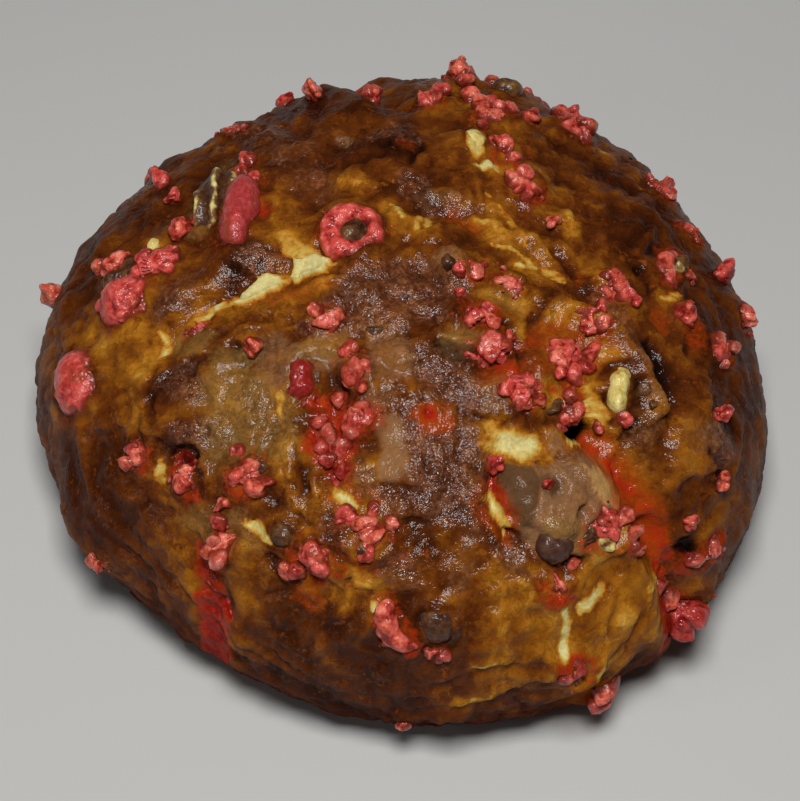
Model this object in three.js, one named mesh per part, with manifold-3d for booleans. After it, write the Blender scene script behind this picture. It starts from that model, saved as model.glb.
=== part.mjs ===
// Praline brioche: a round domed loaf, browned all over, with pink sugared almonds baked into its crust
import * as THREE from 'three';
import { mergeVertices } from 'three/addons/utils/BufferGeometryUtils.js';
import Module from 'manifold-3d';

// Loaf sizes in millimetres: the front faces -Y and the flat underside lies at z = 0
const GIRTH = 106; // mean half width at the widest level
const HEIGHT = 88; // underside to crown
const BELLY = 24; // height of the widest level
const FOOT = 92; // half width of the flat underside
const CROWN_FULLNESS = 2.1; // 2 is an ellipse, more is fuller
const TUCK_FULLNESS = 2.5; // the same for the tuck between the widest level and the underside
const COLUMNS = 72;
const ROWS = 30;
const UNDERSIDE_RINGS = [0, 0.55];

// The plan outline is not a true circle: slow swells round the loaf, peak in degrees
const OUTLINE_SWELLS = [
  { lobes: 2, swell: 1.8, peak: -45 },
  { lobes: 3, swell: 2.7, peak: -56 },
  { lobes: 4, swell: 1.2, peak: -8 },
];

// Places on the crust are [bearing, lift] in degrees: bearing turns from +X towards +Y,
// lift rises from the widest level as seen from the loaf's heart
const FOLDS = {
  'tear left of the crown': { path: [[-163, 36], [-169, 45], [-171, 56], [179, 70]], wide: 9, deep: 3.4 },
  'hollow under the crest': { path: [[-20, 54], [-33, 47], [-42, 40]], wide: 22, deep: 3 },
  'syrup cleft': { path: [[-47, 38], [-45, 33], [-45, 26], [-47, 18]], wide: 10, deep: 3.6 },
  'foot of the syrup cleft': { path: [[-47, 18], [-47, 9], [-45, -4], [-45, -12]], wide: 10, deep: 5.5 },
  'red dip': { path: [[-114, 50], [-112, 43], [-107, 36]], wide: 13, deep: 2.8 },
  'run at the front left': { path: [[-127, 17], [-122, 9], [-121, 0]], wide: 11, deep: 2.2 },
  'strands behind the crown': { path: [[65, 72], [19, 67], [0, 59]], wide: 11, deep: 2.8 },
  'crease beside the front mound': { path: [[-70, 39], [-71, 33], [-68, 27]], wide: 7, deep: 3 },
  'tear above the front mound': { path: [[-71, 45], [-64, 41], [-57, 37]], wide: 10, deep: 2.6 },
  'groove behind the tear': { path: [[114, 48], [141, 60], [176, 61]], wide: 10, deep: 2.2 },
  'split at the front right': { path: [[-65, 18], [-67, 10]], wide: 7, deep: 2 },
  'back cleft': { path: [[104, 8], [98, 22], [92, 36]], wide: 11, deep: 3.2 },
  'back tear': { path: [[138, 4], [132, 14], [120, 18]], wide: 10, deep: 3 },
  'right back crease': { path: [[40, 4], [52, 14], [66, 20]], wide: 10, deep: 2.8 },
};
const RIDGES = {
  'crest right of the crown': { path: [[-15, 56], [-18, 46], [-24, 37], [-29, 32]], wide: 7, high: 4 },
  'lip of the left tear': { path: [[-172, 38], [179, 50], [172, 62]], wide: 8, high: 2 },
  'lip of the syrup cleft': { path: [[-52, 20], [-53, 10], [-52, -2]], wide: 10, high: 2.4 },
  'back crest': { path: [[112, 10], [106, 24], [101, 36]], wide: 8, high: 2.2 },
};
const MOUNDS = {
  'front mound': { at: [-61, 31], across: 34, high: 3 },
  'right mound': { at: [-28, 20], across: 36, high: 2.5 },
  'left mound': { at: [-150, 32], across: 44, high: 2.5 },
  'front left shoulder': { at: [-150, 4], across: 46, high: 5 },
  'front lobe': { at: [-62, 8], across: 44, high: 2.6 },
  'crown blister': { at: [99, 53], across: 22, high: 1.6 },
  'crown ball': { at: [-11, 78], across: 16, high: 2.2 },
  'back left mound': { at: [133, 44], across: 34, high: 2 },
  'back right mound': { at: [24, 40], across: 36, high: 1.2 },
};

// Buried nuts lift the crust all round: a spiral of low knolls, even in area, with drawn sizes
const KNOLLS = 64;
const KNOLL_ACROSS = [15, 27];
const KNOLL_HIGH = [0.8, 2.6];
const KNOLL_SCATTER = 7; // degrees that a knoll strays from the spiral
const TOP_LIFT = 88; // the spiral stops just short of the crown's centre
const RELIEF_FADE = 14; // relief dies away over this height above the underside

// Praline pieces: bearing, lift, long, wide, proud of the crust, heading of the long side in plan
const PRALINES = [
  [-168, 19, 17, 16, 5.5, 90],
  [-178, 30.5, 16.5, 12.5, 5, 40],
  [174.5, 36.5, 9.5, 8.5, 4, 0],
  [158, 49, 21, 12, 3.5, 75],
  [-137, 64, 9.5, 8, 3, 20],
  [-128, 51, 11, 8.5, 2.5, 90],
  [-111, 57, 11, 8, 3.5, 90],
  [-105, 48, 10, 9, 4, 0],
  [-147, 23, 10, 7, 4, 70],
  [-136, 26, 9.5, 8, 3.5, 90],
  [-125, 32, 12, 9, 4, 0],
  [-124, 21, 10, 8.5, 4, 60],
  [-106.5, 25, 12.5, 11, 4.5, 20],
  [-98, 30, 14.5, 12, 4.5, 105],
  [128, 25, 9.5, 7, 3.5, 0],
  [80, 25, 12, 10, 7, 90],
  [68, 39, 13, 8.5, 4, 0],
  [84, 36, 10, 8, 4, 30],
  [52, 30, 12, 10.5, 4, 130],
  [54, 49, 10, 9, 3, 60],
  [40, 55, 11, 9.5, 3, 90],
  [32, 22, 9, 6.5, 4, 110],
  [21, 22, 7.5, 6.5, 3.5, 130],
  [-6, 45, 12, 9.5, 3, 150],
  [5, 14, 9.5, 8.5, 5, 0],
  [-9, 23, 9, 7, 3.5, 0],
  [-20, 48, 11, 7, 3.5, 90],
  [-35, 48, 17.5, 16, 5, 30],
  [-55, 49, 12, 10, 4, 160],
  [-45, 40, 13, 7.5, 3.5, 80],
  [-54, 59, 13, 10.5, 4, 20],
  [-48, 67, 10, 8, 3.5, 0],
  [-17, 65, 10, 7, 3, 0],
  [-20, 74, 9, 7.5, 3, 80],
  [-54, 24, 14, 11, 5, 0],
  [-45, 1, 16, 13, 10, 70],
  [-66, 19, 10, 9, 3, 0],
  [-66, 6, 10, 8, 2.5, 0],
  [-62, -4, 10, 9, 6, 40],
  [-164, 41, 10, 6.5, 3, 30],
  [-145, 2, 9, 6, 3.5, 90],
  [-38, 9, 9, 6.5, 3.5, 90],
];
const PRALINE_RING = [154, 75, 17.5, 17, 4, 0]; // a sugar shell broken open round its nut
const PRALINE_CURLS = [
  { name: 'praline_crescent', row: [-93, 16, 19, 6, 4, -75], bend: 8 },
  { name: 'praline_hook', row: [7, 33, 16, 6.5, 3.5, -100], bend: 6.5 },
];

// The hidden back carries pieces like the ones that show, on a spiral between two bearings
const BACK_PIECES = 7;
const BACK_BEARINGS = [50, 142];
const BACK_LIFTS = [-4, 13];
const BACK_LONG = [9, 15];
const BACK_WIDE = 0.8; // width against length
const BACK_PROUD = 0.35; // height above the crust against length

// Bare almonds: bearing, lift, long, wide, proud, heading
const ALMONDS = [
  [-33, 37, 17, 6.5, 4, 80],
  [153, 41, 17, 9.5, 4.5, 60],
  [-64, 25, 14, 9.5, 4, 0],
  [-85.5, 17, 11.5, 10, 3.5, 90],
  [68, 49.5, 8.5, 7.5, 2.5, 90],
  [70, 25, 10, 8, 5, 20],
  [-114, 26, 7.5, 7, 3.5, 0],
];

// Chips of praline stuck on the crust: bearing, lift, across
const CHIPS = [
  [-148, 49, 5.5],
  [-130, 36, 5.5],
  [153, 32, 5],
  [164, 38, 5.5],
  [109, 24, 6.5],
  [98, 31, 6],
  [60, 34, 6],
  [21, 54, 5],
  [12, 19, 6],
  [-5, 31, 7],
  [-51, 19, 5],
  [-60, 22.5, 4.5],
  [-91, -4, 3.5],
  [-69, 38, 4.5],
  [-61, 34, 3.5],
  [-114, 51, 6],
  [-127, 26, 4.5],
  [-103, 33, 5.5],
  [171, 27, 6.5],
  [169, 11, 6.5],
  [147, 24, 6.5],
  [-22, 22, 5],
  [-31, 16, 4.5],
  [-40, 16, 4.5],
];
const BACK_CHIPS = 14;
const BACK_CHIP_ACROSS = [3.5, 6.5];

const SMALL_PIECE = 11.8; // shorter pieces have fewer facets
const KNOBBLE = 0.2; // how far a sugar lump departs from an egg shape
const ALMOND_KNOBBLE = 0.07; // the same for a bare almond
const KNOBBLE_WAVES = 4;
const KNOBBLE_TURNS = 3.4; // how many radians each wave runs through across a lump
const CRATER = { rimFrom: 0.62, rimTo: 0.8, deep: 0.42, bossFrom: 0.9, bossTo: 0.99, boss: 0.2 };
const SLIMNESS = 0.9; // thickness of a lump against its width
const SEAT = 0.4; // clearance of a piece in its pocket
const CHIP_SUNK = 0.3; // share of a chip's width below the crust
const CHIP_GAP = 1.2; // least gap between a chip and a piece
const GOLDEN_ANGLE = 137.508;

const CRUST = { color: 0x6a3a18, roughness: 0.42, metalness: 0 };
const SUGAR = { color: 0xd2565c, roughness: 0.45, metalness: 0 };
const NUT = { color: 0x7a5527, roughness: 0.6, metalness: 0 };

const wasm = await Module();
wasm.setup();

const radians = THREE.MathUtils.degToRad;
const heart = new THREE.Vector3(0, 0, BELLY);

// A repeatable draw between 0 and 1 for item and trait
function draw(item, trait) {
  const wave = Math.sin(item * 12.9898 + trait * 78.233) * 43758.5453;
  return wave - Math.floor(wave);
}

function drawBetween([low, high], item, trait) {
  return low + (high - low) * draw(item, trait);
}

function planRadius(bearing) {
  let radius = GIRTH;
  for (const { lobes, swell, peak } of OUTLINE_SWELLS) {
    radius += swell * Math.cos(lobes * radians(bearing - peak));
  }
  return radius;
}

function superellipse(flat, rise, fullness) {
  return (Math.abs(flat) ** fullness + Math.abs(rise) ** fullness) ** (-1 / fullness);
}

// The smooth dome: distance from the heart to the crust along a bearing and a lift
function bareRadius(bearing, lift) {
  const across = Math.cos(radians(lift)) / planRadius(bearing);
  const rise = Math.sin(radians(lift));
  if (rise >= 0) {
    return superellipse(across, rise / (HEIGHT - BELLY), CROWN_FULLNESS);
  }
  const tuckDepth = BELLY * (1 - (FOOT / GIRTH) ** TUCK_FULLNESS) ** (-1 / TUCK_FULLNESS);
  const tucked = superellipse(across, rise / tuckDepth, TUCK_FULLNESS);
  return Math.min(tucked, BELLY / -rise);
}

function direction(bearing, lift) {
  const flat = Math.cos(radians(lift));
  return new THREE.Vector3(
    flat * Math.cos(radians(bearing)),
    flat * Math.sin(radians(bearing)),
    Math.sin(radians(lift)),
  );
}

function barePoint(bearing, lift) {
  return direction(bearing, lift).multiplyScalar(bareRadius(bearing, lift)).add(heart);
}

function bareNormal(bearing, lift) {
  const step = 0.5;
  const along = barePoint(bearing + step, lift).sub(barePoint(bearing - step, lift));
  const upward = barePoint(bearing, lift + step).sub(barePoint(bearing, lift - step));
  return along.cross(upward).normalize();
}

// Even spiral of places over the dome; lift follows from equal steps of height
function spiralPlace(index, count) {
  const rise = (index + 0.5) / count;
  const bearing = index * GOLDEN_ANGLE + KNOLL_SCATTER * (draw(index, 1) * 2 - 1);
  const lift = THREE.MathUtils.radToDeg(Math.asin(rise)) + KNOLL_SCATTER * (draw(index, 2) * 2 - 1);
  return [bearing, Math.min(lift, TOP_LIFT)];
}

const pathPoints = ({ path }) => path.map(([bearing, lift]) => barePoint(bearing, lift));
const foldPaths = Object.values(FOLDS).map((fold) => ({ ...fold, points: pathPoints(fold) }));
const ridgePaths = Object.values(RIDGES).map((ridge) => ({ ...ridge, points: pathPoints(ridge) }));
const knolls = Object.values(MOUNDS).map(({ at, across, high }) => {
  return { centre: barePoint(...at), across, high };
});
for (let index = 0; index < KNOLLS; index += 1) {
  knolls.push({
    centre: barePoint(...spiralPlace(index, KNOLLS)),
    across: drawBetween(KNOLL_ACROSS, index, 3),
    high: drawBetween(KNOLL_HIGH, index, 4),
  });
}

function distanceToPath(point, points) {
  const nearest = new THREE.Vector3();
  let least = Infinity;
  for (let index = 0; index + 1 < points.length; index += 1) {
    new THREE.Line3(points[index], points[index + 1]).closestPointToPoint(point, true, nearest);
    least = Math.min(least, nearest.distanceTo(point));
  }
  return least;
}

// A bell curve that has fallen to about a third at half the width
function softSides(distance, wide) {
  const share = (2 * distance) / wide;
  return Math.exp(-share * share);
}

// Height of the crust over the smooth dome: round knolls, soft-sided ridges, soft-sided folds
function relief(point) {
  let height = 0;
  for (const { centre, across, high } of knolls) {
    const share = (2 * centre.distanceTo(point)) / across;
    if (share < 1) height += high * (1 - share * share) ** 2;
  }
  for (const { points, wide, high } of ridgePaths) {
    height += high * softSides(distanceToPath(point, points), wide);
  }
  for (const { points, wide, deep } of foldPaths) {
    height -= deep * softSides(distanceToPath(point, points), wide);
  }
  return height * THREE.MathUtils.smoothstep(point.z, 0, RELIEF_FADE);
}

function crustPoint(bearing, lift) {
  const bare = barePoint(bearing, lift);
  return bare.clone().addScaledVector(direction(bearing, lift), relief(bare));
}

// The lift at which the tucked side meets the flat underside
function footLift(bearing) {
  return -THREE.MathUtils.radToDeg(Math.atan(BELLY / ((planRadius(bearing) * FOOT) / GIRTH)));
}

function closedGeometry(geometry) {
  geometry.deleteAttribute('normal');
  geometry.deleteAttribute('uv');
  return mergeVertices(geometry);
}

function moveVertices(geometry, move) {
  const position = geometry.getAttribute('position');
  const point = new THREE.Vector3();
  for (let index = 0; index < position.count; index += 1) {
    point.fromBufferAttribute(position, index);
    const moved = move(point);
    position.setXYZ(index, moved.x, moved.y, moved.z);
  }
  return geometry;
}

function toSolid(geometry) {
  const closed = closedGeometry(geometry);
  return new wasm.Manifold(new wasm.Mesh({
    numProp: 3,
    vertProperties: new Float32Array(closed.getAttribute('position').array),
    triVerts: new Uint32Array(closed.getIndex().array),
  }));
}

function toGeometry(solid) {
  const { vertProperties, triVerts } = solid.getMesh();
  const geometry = new THREE.BufferGeometry();
  geometry.setAttribute('position', new THREE.BufferAttribute(vertProperties, 3));
  geometry.setIndex(new THREE.BufferAttribute(triVerts, 1));
  geometry.computeVertexNormals();
  return geometry;
}

// A turned blank whose rings are then moved out to the crust: the rings below the foot stay flat
function bareLoaf() {
  const underside = UNDERSIDE_RINGS.map((share) => new THREE.Vector2(share, -1));
  const side = Array.from({ length: ROWS }, (_, row) => new THREE.Vector2(1, row / ROWS));
  const crown = new THREE.Vector2(0, 1);
  const blank = new THREE.LatheGeometry([...underside, ...side, crown], COLUMNS);
  return moveVertices(blank, ({ x, y, z }) => {
    const bearing = THREE.MathUtils.radToDeg(Math.atan2(-z, x));
    const foot = footLift(bearing);
    if (y < 0) {
      return barePoint(bearing, foot).setZ(0).multiplyScalar(Math.hypot(x, z));
    }
    return crustPoint(bearing, THREE.MathUtils.lerp(foot, 90, y));
  });
}

let pieceCount = 0;
function piece(name, [bearing, lift, long, wide, proud, heading], form = 'lump', bend = 0) {
  pieceCount += 1;
  return { name, bearing, lift, long, wide, proud, heading, form, bend, seed: pieceCount };
}

// Length, side and outward axes of a piece lying on the crust, with its middle below the crust
function pieceFrame({ bearing, lift, heading, wide, proud }) {
  const outward = bareNormal(bearing, lift);
  const flat = new THREE.Vector3(Math.cos(radians(heading)), Math.sin(radians(heading)), 0);
  const length = flat.addScaledVector(outward, -flat.dot(outward)).normalize();
  const side = outward.clone().cross(length);
  const middle = crustPoint(bearing, lift).addScaledVector(outward, proud - (wide * SLIMNESS) / 2);
  return new THREE.Matrix4().makeBasis(length, side, outward).setPosition(middle);
}

// Knobbly swell of a lump in a unit direction: a few slow waves with drawn headings
function knobble(unit, seed) {
  let swell = 0;
  for (let wave = 0; wave < KNOBBLE_WAVES; wave += 1) {
    const turn = draw(seed, wave + 5) * Math.PI * 2;
    const tilt = draw(seed, wave + 11) * 2 - 1;
    const flat = Math.sqrt(1 - tilt * tilt);
    const reach = unit.x * flat * Math.cos(turn) + unit.y * flat * Math.sin(turn) + unit.z * tilt;
    swell += Math.cos(KNOBBLE_TURNS * reach + wave) / KNOBBLE_WAVES;
  }
  return swell;
}

// Crater of the broken shell: a moat round a low boss, seen from outside
function crater(unit) {
  const rim = THREE.MathUtils.smoothstep(unit.z, CRATER.rimFrom, CRATER.rimTo);
  const boss = THREE.MathUtils.smoothstep(unit.z, CRATER.bossFrom, CRATER.bossTo);
  return 1 - CRATER.deep * rim + CRATER.boss * boss;
}

function lumpGeometry(shape, grow) {
  const fineness = shape.form === 'ring' ? 2 : 1;
  const facets = shape.long < SMALL_PIECE
    ? new THREE.OctahedronGeometry(1, fineness)
    : new THREE.IcosahedronGeometry(1, fineness);
  const half = new THREE.Vector3(shape.long, shape.wide, shape.wide * SLIMNESS).multiplyScalar(0.5);
  const lumpy = shape.form === 'almond' ? ALMOND_KNOBBLE : KNOBBLE;
  const frame = pieceFrame(shape);
  return moveVertices(facets, (unit) => {
    let swell = 1 + lumpy * knobble(unit, shape.seed);
    if (shape.form === 'ring') swell *= crater(unit);
    const point = half.clone().addScalar(grow).multiply(unit).multiplyScalar(swell);
    if (shape.form === 'curl') {
      const turn = point.x / shape.bend;
      const arm = shape.bend - point.y;
      point.set(Math.sin(turn) * arm, shape.bend - Math.cos(turn) * arm, point.z);
    }
    return point.applyMatrix4(frame);
  });
}

const pieces = PRALINES.map((row, index) => {
  return piece(`praline_${String(index + 1).padStart(2, '0')}`, row);
});
pieces.push(piece('praline_ring', PRALINE_RING, 'ring'));
PRALINE_CURLS.forEach(({ name, row, bend }) => pieces.push(piece(name, row, 'curl', bend)));
for (let index = 0; index < BACK_PIECES; index += 1) {
  const across = (index + 0.5) / BACK_PIECES;
  const long = drawBetween(BACK_LONG, index, 21);
  pieces.push(piece(`praline_back_${index + 1}`, [
    THREE.MathUtils.lerp(...BACK_BEARINGS, across),
    drawBetween(BACK_LIFTS, index, 22),
    long,
    long * BACK_WIDE,
    long * BACK_PROUD,
    draw(index, 23) * 180,
  ]));
}
const almonds = ALMONDS.map((row, index) => piece(`almond_${index + 1}`, row, 'almond'));

const chips = CHIPS.map(([bearing, lift, across]) => ({ place: [bearing, lift], across }));
for (let index = 0; index < BACK_CHIPS; index += 1) {
  const share = (index + 0.5) / BACK_CHIPS;
  const bearing = THREE.MathUtils.lerp(...BACK_BEARINGS, share);
  chips.push({
    place: [bearing, drawBetween(BACK_LIFTS, index, 31)],
    across: drawBetween(BACK_CHIP_ACROSS, index, 32),
  });
}

// A chip is left off where it would touch a larger piece
function chipIsClear({ place, across }) {
  const spot = crustPoint(...place);
  return [...pieces, ...almonds].every((shape) => {
    const reach = (shape.long + across) / 2 + CHIP_GAP;
    return spot.distanceTo(crustPoint(shape.bearing, shape.lift)) > reach;
  });
}

function chipGeometry({ place, across }, seed) {
  const outward = bareNormal(...place);
  const middle = crustPoint(...place).addScaledVector(outward, across * (0.5 - CHIP_SUNK));
  return moveVertices(new THREE.IcosahedronGeometry(1, 0), (unit) => {
    const swell = 1 + KNOBBLE * knobble(unit, seed);
    return unit.clone().multiplyScalar((across / 2) * swell).add(middle);
  });
}

let loaf = toSolid(bareLoaf());
chips.filter(chipIsClear).forEach((chip, index) => {
  loaf = loaf.add(toSolid(chipGeometry(chip, pieceCount + index)));
});
for (const shape of [...pieces, ...almonds]) {
  loaf = loaf.subtract(toSolid(lumpGeometry(shape, SEAT)));
}
const [largest] = loaf.decompose().sort((one, other) => other.volume() - one.volume());

const brioche = new THREE.Group();
function addMesh(name, geometry, finish) {
  const mesh = new THREE.Mesh(geometry, new THREE.MeshStandardMaterial(finish));
  mesh.name = name;
  brioche.add(mesh);
}

addMesh('loaf', toGeometry(largest), CRUST);
pieces.forEach((shape) => addMesh(shape.name, toGeometry(toSolid(lumpGeometry(shape, 0))), SUGAR));
almonds.forEach((shape) => addMesh(shape.name, toGeometry(toSolid(lumpGeometry(shape, 0))), NUT));

export default brioche;
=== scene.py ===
import math

import bpy
import numpy as np
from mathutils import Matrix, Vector


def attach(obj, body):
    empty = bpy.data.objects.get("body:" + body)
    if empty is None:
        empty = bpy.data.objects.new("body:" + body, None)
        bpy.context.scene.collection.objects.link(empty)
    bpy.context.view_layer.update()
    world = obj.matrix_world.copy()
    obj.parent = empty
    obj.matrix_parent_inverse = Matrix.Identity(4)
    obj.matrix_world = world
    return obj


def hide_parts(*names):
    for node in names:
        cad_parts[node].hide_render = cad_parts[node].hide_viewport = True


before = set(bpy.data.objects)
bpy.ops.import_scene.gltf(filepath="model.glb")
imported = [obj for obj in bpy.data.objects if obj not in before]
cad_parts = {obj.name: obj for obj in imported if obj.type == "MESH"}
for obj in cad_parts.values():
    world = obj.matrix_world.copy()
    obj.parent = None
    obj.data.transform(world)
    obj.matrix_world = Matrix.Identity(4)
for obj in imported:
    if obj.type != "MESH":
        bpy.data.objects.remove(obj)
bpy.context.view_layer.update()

scene = bpy.context.scene

# The view. The photograph looks down on the loaf's front through a long lens, from about 0.7 m away.
# It comes first because marks on the crust are placed along its sight lines.
# Lengths are in millimetres up to the point where a mesh is made.
MM = 0.001
IMAGE = np.array([800, 801])  # pixels across and down
VIEW_RISE = math.radians(55)  # of the eye above the horizon
VIEW_DISTANCE = 700
VIEW_AIM = np.array([-2.4, 0.0, 19.0])
VIEW_WIDTH = 239  # seen across the picture at the aim
SENSOR = 36

toward_eye = np.array([0, -math.cos(VIEW_RISE), math.sin(VIEW_RISE)])
view_right = np.array([1.0, 0.0, 0.0])
view_up = np.array([0, math.sin(VIEW_RISE), math.cos(VIEW_RISE)])
eye = VIEW_AIM + VIEW_DISTANCE * toward_eye


def unit(vectors):
    """Vectors shortened or lengthened to 1."""
    return vectors / np.linalg.norm(vectors, axis=-1, keepdims=True)


def sight_lines(pixels):
    """Directions from the eye through pixels: each pixel's offset from the picture's middle, in millimetres
    at the aim, runs along the view's right and up, and the aim lies straight ahead."""
    offset = (np.array(pixels, float) - IMAGE / 2) * VIEW_WIDTH / IMAGE[0]
    return unit(offset[:, :1] * view_right - offset[:, 1:] * view_up - VIEW_DISTANCE * toward_eye)


camera = bpy.data.objects.new("camera", bpy.data.cameras.new("camera"))
camera.data.sensor_fit = "HORIZONTAL"
camera.data.sensor_width = SENSOR
camera.data.lens = SENSOR * VIEW_DISTANCE / VIEW_WIDTH
camera.location = Vector(eye * MM)
camera.rotation_euler = Vector(toward_eye).to_track_quat("Z", "Y").to_euler()
scene.collection.objects.link(camera)
scene.camera = camera

# The loaf. One round of enriched dough, risen to a dome and torn in places by the oven's heat.
# Its skin is brushed with egg, so it bakes to a glossy brown: pale where it tore late, dark where it
# stood proud. Melted red sugar has run from the pralines into its folds.
GIRTH = 106  # mean half width at the widest level
HEIGHT = 88
BELLY = 24  # height of the widest level
FOOT = 92  # half width of the flat underside
CROWN_FULLNESS = 2.1
TUCK_FULLNESS = 2.5
TUCK_DEPTH = BELLY * (1 - (FOOT / GIRTH) ** TUCK_FULLNESS) ** (-1 / TUCK_FULLNESS)
OUTLINE_SWELLS = [(2, 1.8, -45), (3, 2.7, -56), (4, 1.2, -8)]  # lobes, swell, peak in degrees
HEART = np.array([0.0, 0.0, BELLY])
SKIN_CELLS = 296  # cells across the skin's square grid
UNDERSIDE_RINGS = [0.97, 0.88, 0.6]  # shares of the underside's half width

# Folds, ridges and mounds as the solid has them: bearing and lift in degrees, sizes in millimetres
FOLDS = [  # path, wide, deep
    ([(-163, 36), (-169, 45), (-171, 56), (179, 70)], 9, 3.4),  # tear left of the crown
    ([(-20, 54), (-33, 47), (-42, 40)], 22, 3),  # hollow under the crest
    ([(-47, 38), (-45, 33), (-45, 26), (-47, 18)], 10, 3.6),  # syrup cleft
    ([(-47, 18), (-47, 9), (-45, -4), (-45, -12)], 10, 5.5),  # foot of the syrup cleft
    ([(-114, 50), (-112, 43), (-107, 36)], 13, 2.8),  # red dip
    ([(-127, 17), (-122, 9), (-121, 0)], 11, 2.2),  # run at the front left
    ([(65, 72), (19, 67), (0, 59)], 11, 2.8),  # strands behind the crown
    ([(-70, 39), (-71, 33), (-68, 27)], 7, 3),  # crease beside the front mound
    ([(-71, 45), (-64, 41), (-57, 37)], 10, 2.6),  # tear above the front mound
    ([(114, 48), (141, 60), (176, 61)], 10, 2.2),  # groove behind the tear
    ([(-65, 18), (-67, 10)], 7, 2),  # split at the front right
    ([(104, 8), (98, 22), (92, 36)], 11, 3.2),  # back cleft
    ([(138, 4), (132, 14), (120, 18)], 10, 3),  # back tear
    ([(40, 4), (52, 14), (66, 20)], 10, 2.8),  # right back crease
]
RIDGES = [  # path, wide, high
    ([(-15, 56), (-18, 46), (-24, 37), (-29, 32)], 7, 4),  # crest right of the crown
    ([(-172, 38), (179, 50), (172, 62)], 8, 2),  # lip of the left tear
    ([(-52, 20), (-53, 10), (-52, -2)], 10, 2.4),  # lip of the syrup cleft
    ([(112, 10), (106, 24), (101, 36)], 8, 2.2),  # back crest
]
MOUNDS = [  # bearing, lift, across, high
    (-61, 31, 34, 3),
    (-28, 20, 36, 2.5),
    (-150, 32, 44, 2.5),
    (-150, 4, 46, 5),
    (-62, 8, 44, 2.6),
    (99, 53, 22, 1.6),
    (-11, 78, 16, 2.2),
    (133, 44, 34, 2),
    (24, 40, 36, 1.2),
]
KNOLLS = 64  # smaller mounds, spread evenly over the dome
KNOLL_ACROSS = (15, 27)
KNOLL_HIGH = (0.8, 2.6)
KNOLL_SCATTER = 7  # degrees by which a knoll leaves its even place
TOP_LIFT = 88  # degrees, of the highest knoll
GOLDEN_ANGLE = 137.508  # degrees from one knoll to the next
RELIEF_FADE = 14  # height over the underside at which the relief is full
SIGHT_STEP = 1.0  # along a sight line that is walked to the dome
SIGHT_NEAR = 180  # where the walk starts, before the aim
SIGHT_FAR = 140  # where it ends, past the aim
SIGHT_HALVINGS = 10


def draw(item, trait):
    """A repeatable draw between 0 and 1 for an item and a trait: the fraction of a large sine."""
    wave = np.sin(item * 12.9898 + trait * 78.233) * 43758.5453
    return wave - np.floor(wave)


def draw_between(ends, item, trait):
    """A repeatable draw between two ends."""
    return ends[0] + (ends[1] - ends[0]) * draw(item, trait)


def fade(low, high, value):
    """0 at low, 1 at high, and a smooth S between them."""
    share = np.clip((value - low) / (high - low), 0, 1)
    return share * share * (3 - 2 * share)


def plan_radius(bearing):
    """The outline from above: a circle with a few slow swells round it."""
    swells = [swell * np.cos(lobes * (bearing - math.radians(peak))) for lobes, swell, peak in OUTLINE_SWELLS]
    return GIRTH + sum(swells)


def superellipse(flat, rise, fullness):
    """Distance to a superellipse in a direction given as shares of its two half widths."""
    return (abs(flat) ** fullness + abs(rise) ** fullness) ** (-1 / fullness)


def dome_radius(bearing, lift):
    """Distance from the heart to the smooth dome: one superellipse above the widest level, a tighter one
    below it, cut off flat at the underside."""
    flat = np.cos(lift) / plan_radius(bearing)
    rise = np.sin(lift)
    crown = superellipse(flat, rise / (HEIGHT - BELLY), CROWN_FULLNESS)
    tuck = superellipse(flat, rise / TUCK_DEPTH, TUCK_FULLNESS)
    return np.where(rise >= 0, crown, np.minimum(tuck, BELLY / np.maximum(-rise, 1e-6)))


def toward(bearing, lift):
    """Unit vectors from the heart along a bearing and a lift."""
    return np.stack([np.cos(lift) * np.cos(bearing), np.cos(lift) * np.sin(bearing), np.sin(lift)], axis=-1)


def bearing_and_lift(points):
    """Bearing and lift, in radians, at which the heart sees points."""
    across, along, up = np.moveaxis(points - HEART, -1, 0)
    return np.arctan2(along, across), np.arctan2(up, np.hypot(across, along))


def dome_points(bearing, lift):
    """Points of the smooth dome along bearings and lifts in radians."""
    return HEART + toward(bearing, lift) * dome_radius(bearing, lift)[..., None]


def dome_path(places):
    """Points of the smooth dome at places given as bearing and lift in degrees."""
    bearing, lift = np.radians(np.array(places, float)).T
    return dome_points(bearing, lift)


def dome_seen(pixels):
    """Points where sight lines first meet the smooth dome: the lines are walked in short even steps, and the
    step that goes in, or else the one that passes nearest, is halved towards the skin."""
    ahead = sight_lines(pixels)
    walked = np.arange(VIEW_DISTANCE - SIGHT_NEAR, VIEW_DISTANCE + SIGHT_FAR, SIGHT_STEP)

    def depth(lengths):
        """Distance from the heart at lengths along the lines, against the dome's: below 1 is inside."""
        points = eye + ahead[:, None] * lengths[..., None]
        return np.linalg.norm(points - HEART, axis=-1) / dome_radius(*bearing_and_lift(points))

    depths = depth(np.broadcast_to(walked, (len(ahead), len(walked))))
    first = np.where((depths < 1).any(axis=1), (depths < 1).argmax(axis=1), depths.argmin(axis=1))
    near, far = walked[first] - SIGHT_STEP, walked[first]
    for _ in range(SIGHT_HALVINGS):
        middle = (near + far) / 2
        inside = depth(middle[:, None])[:, 0] < 1
        near, far = np.where(inside, near, middle), np.where(inside, middle, far)
    return dome_points(*bearing_and_lift(eye + ahead * far[:, None]))


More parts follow.
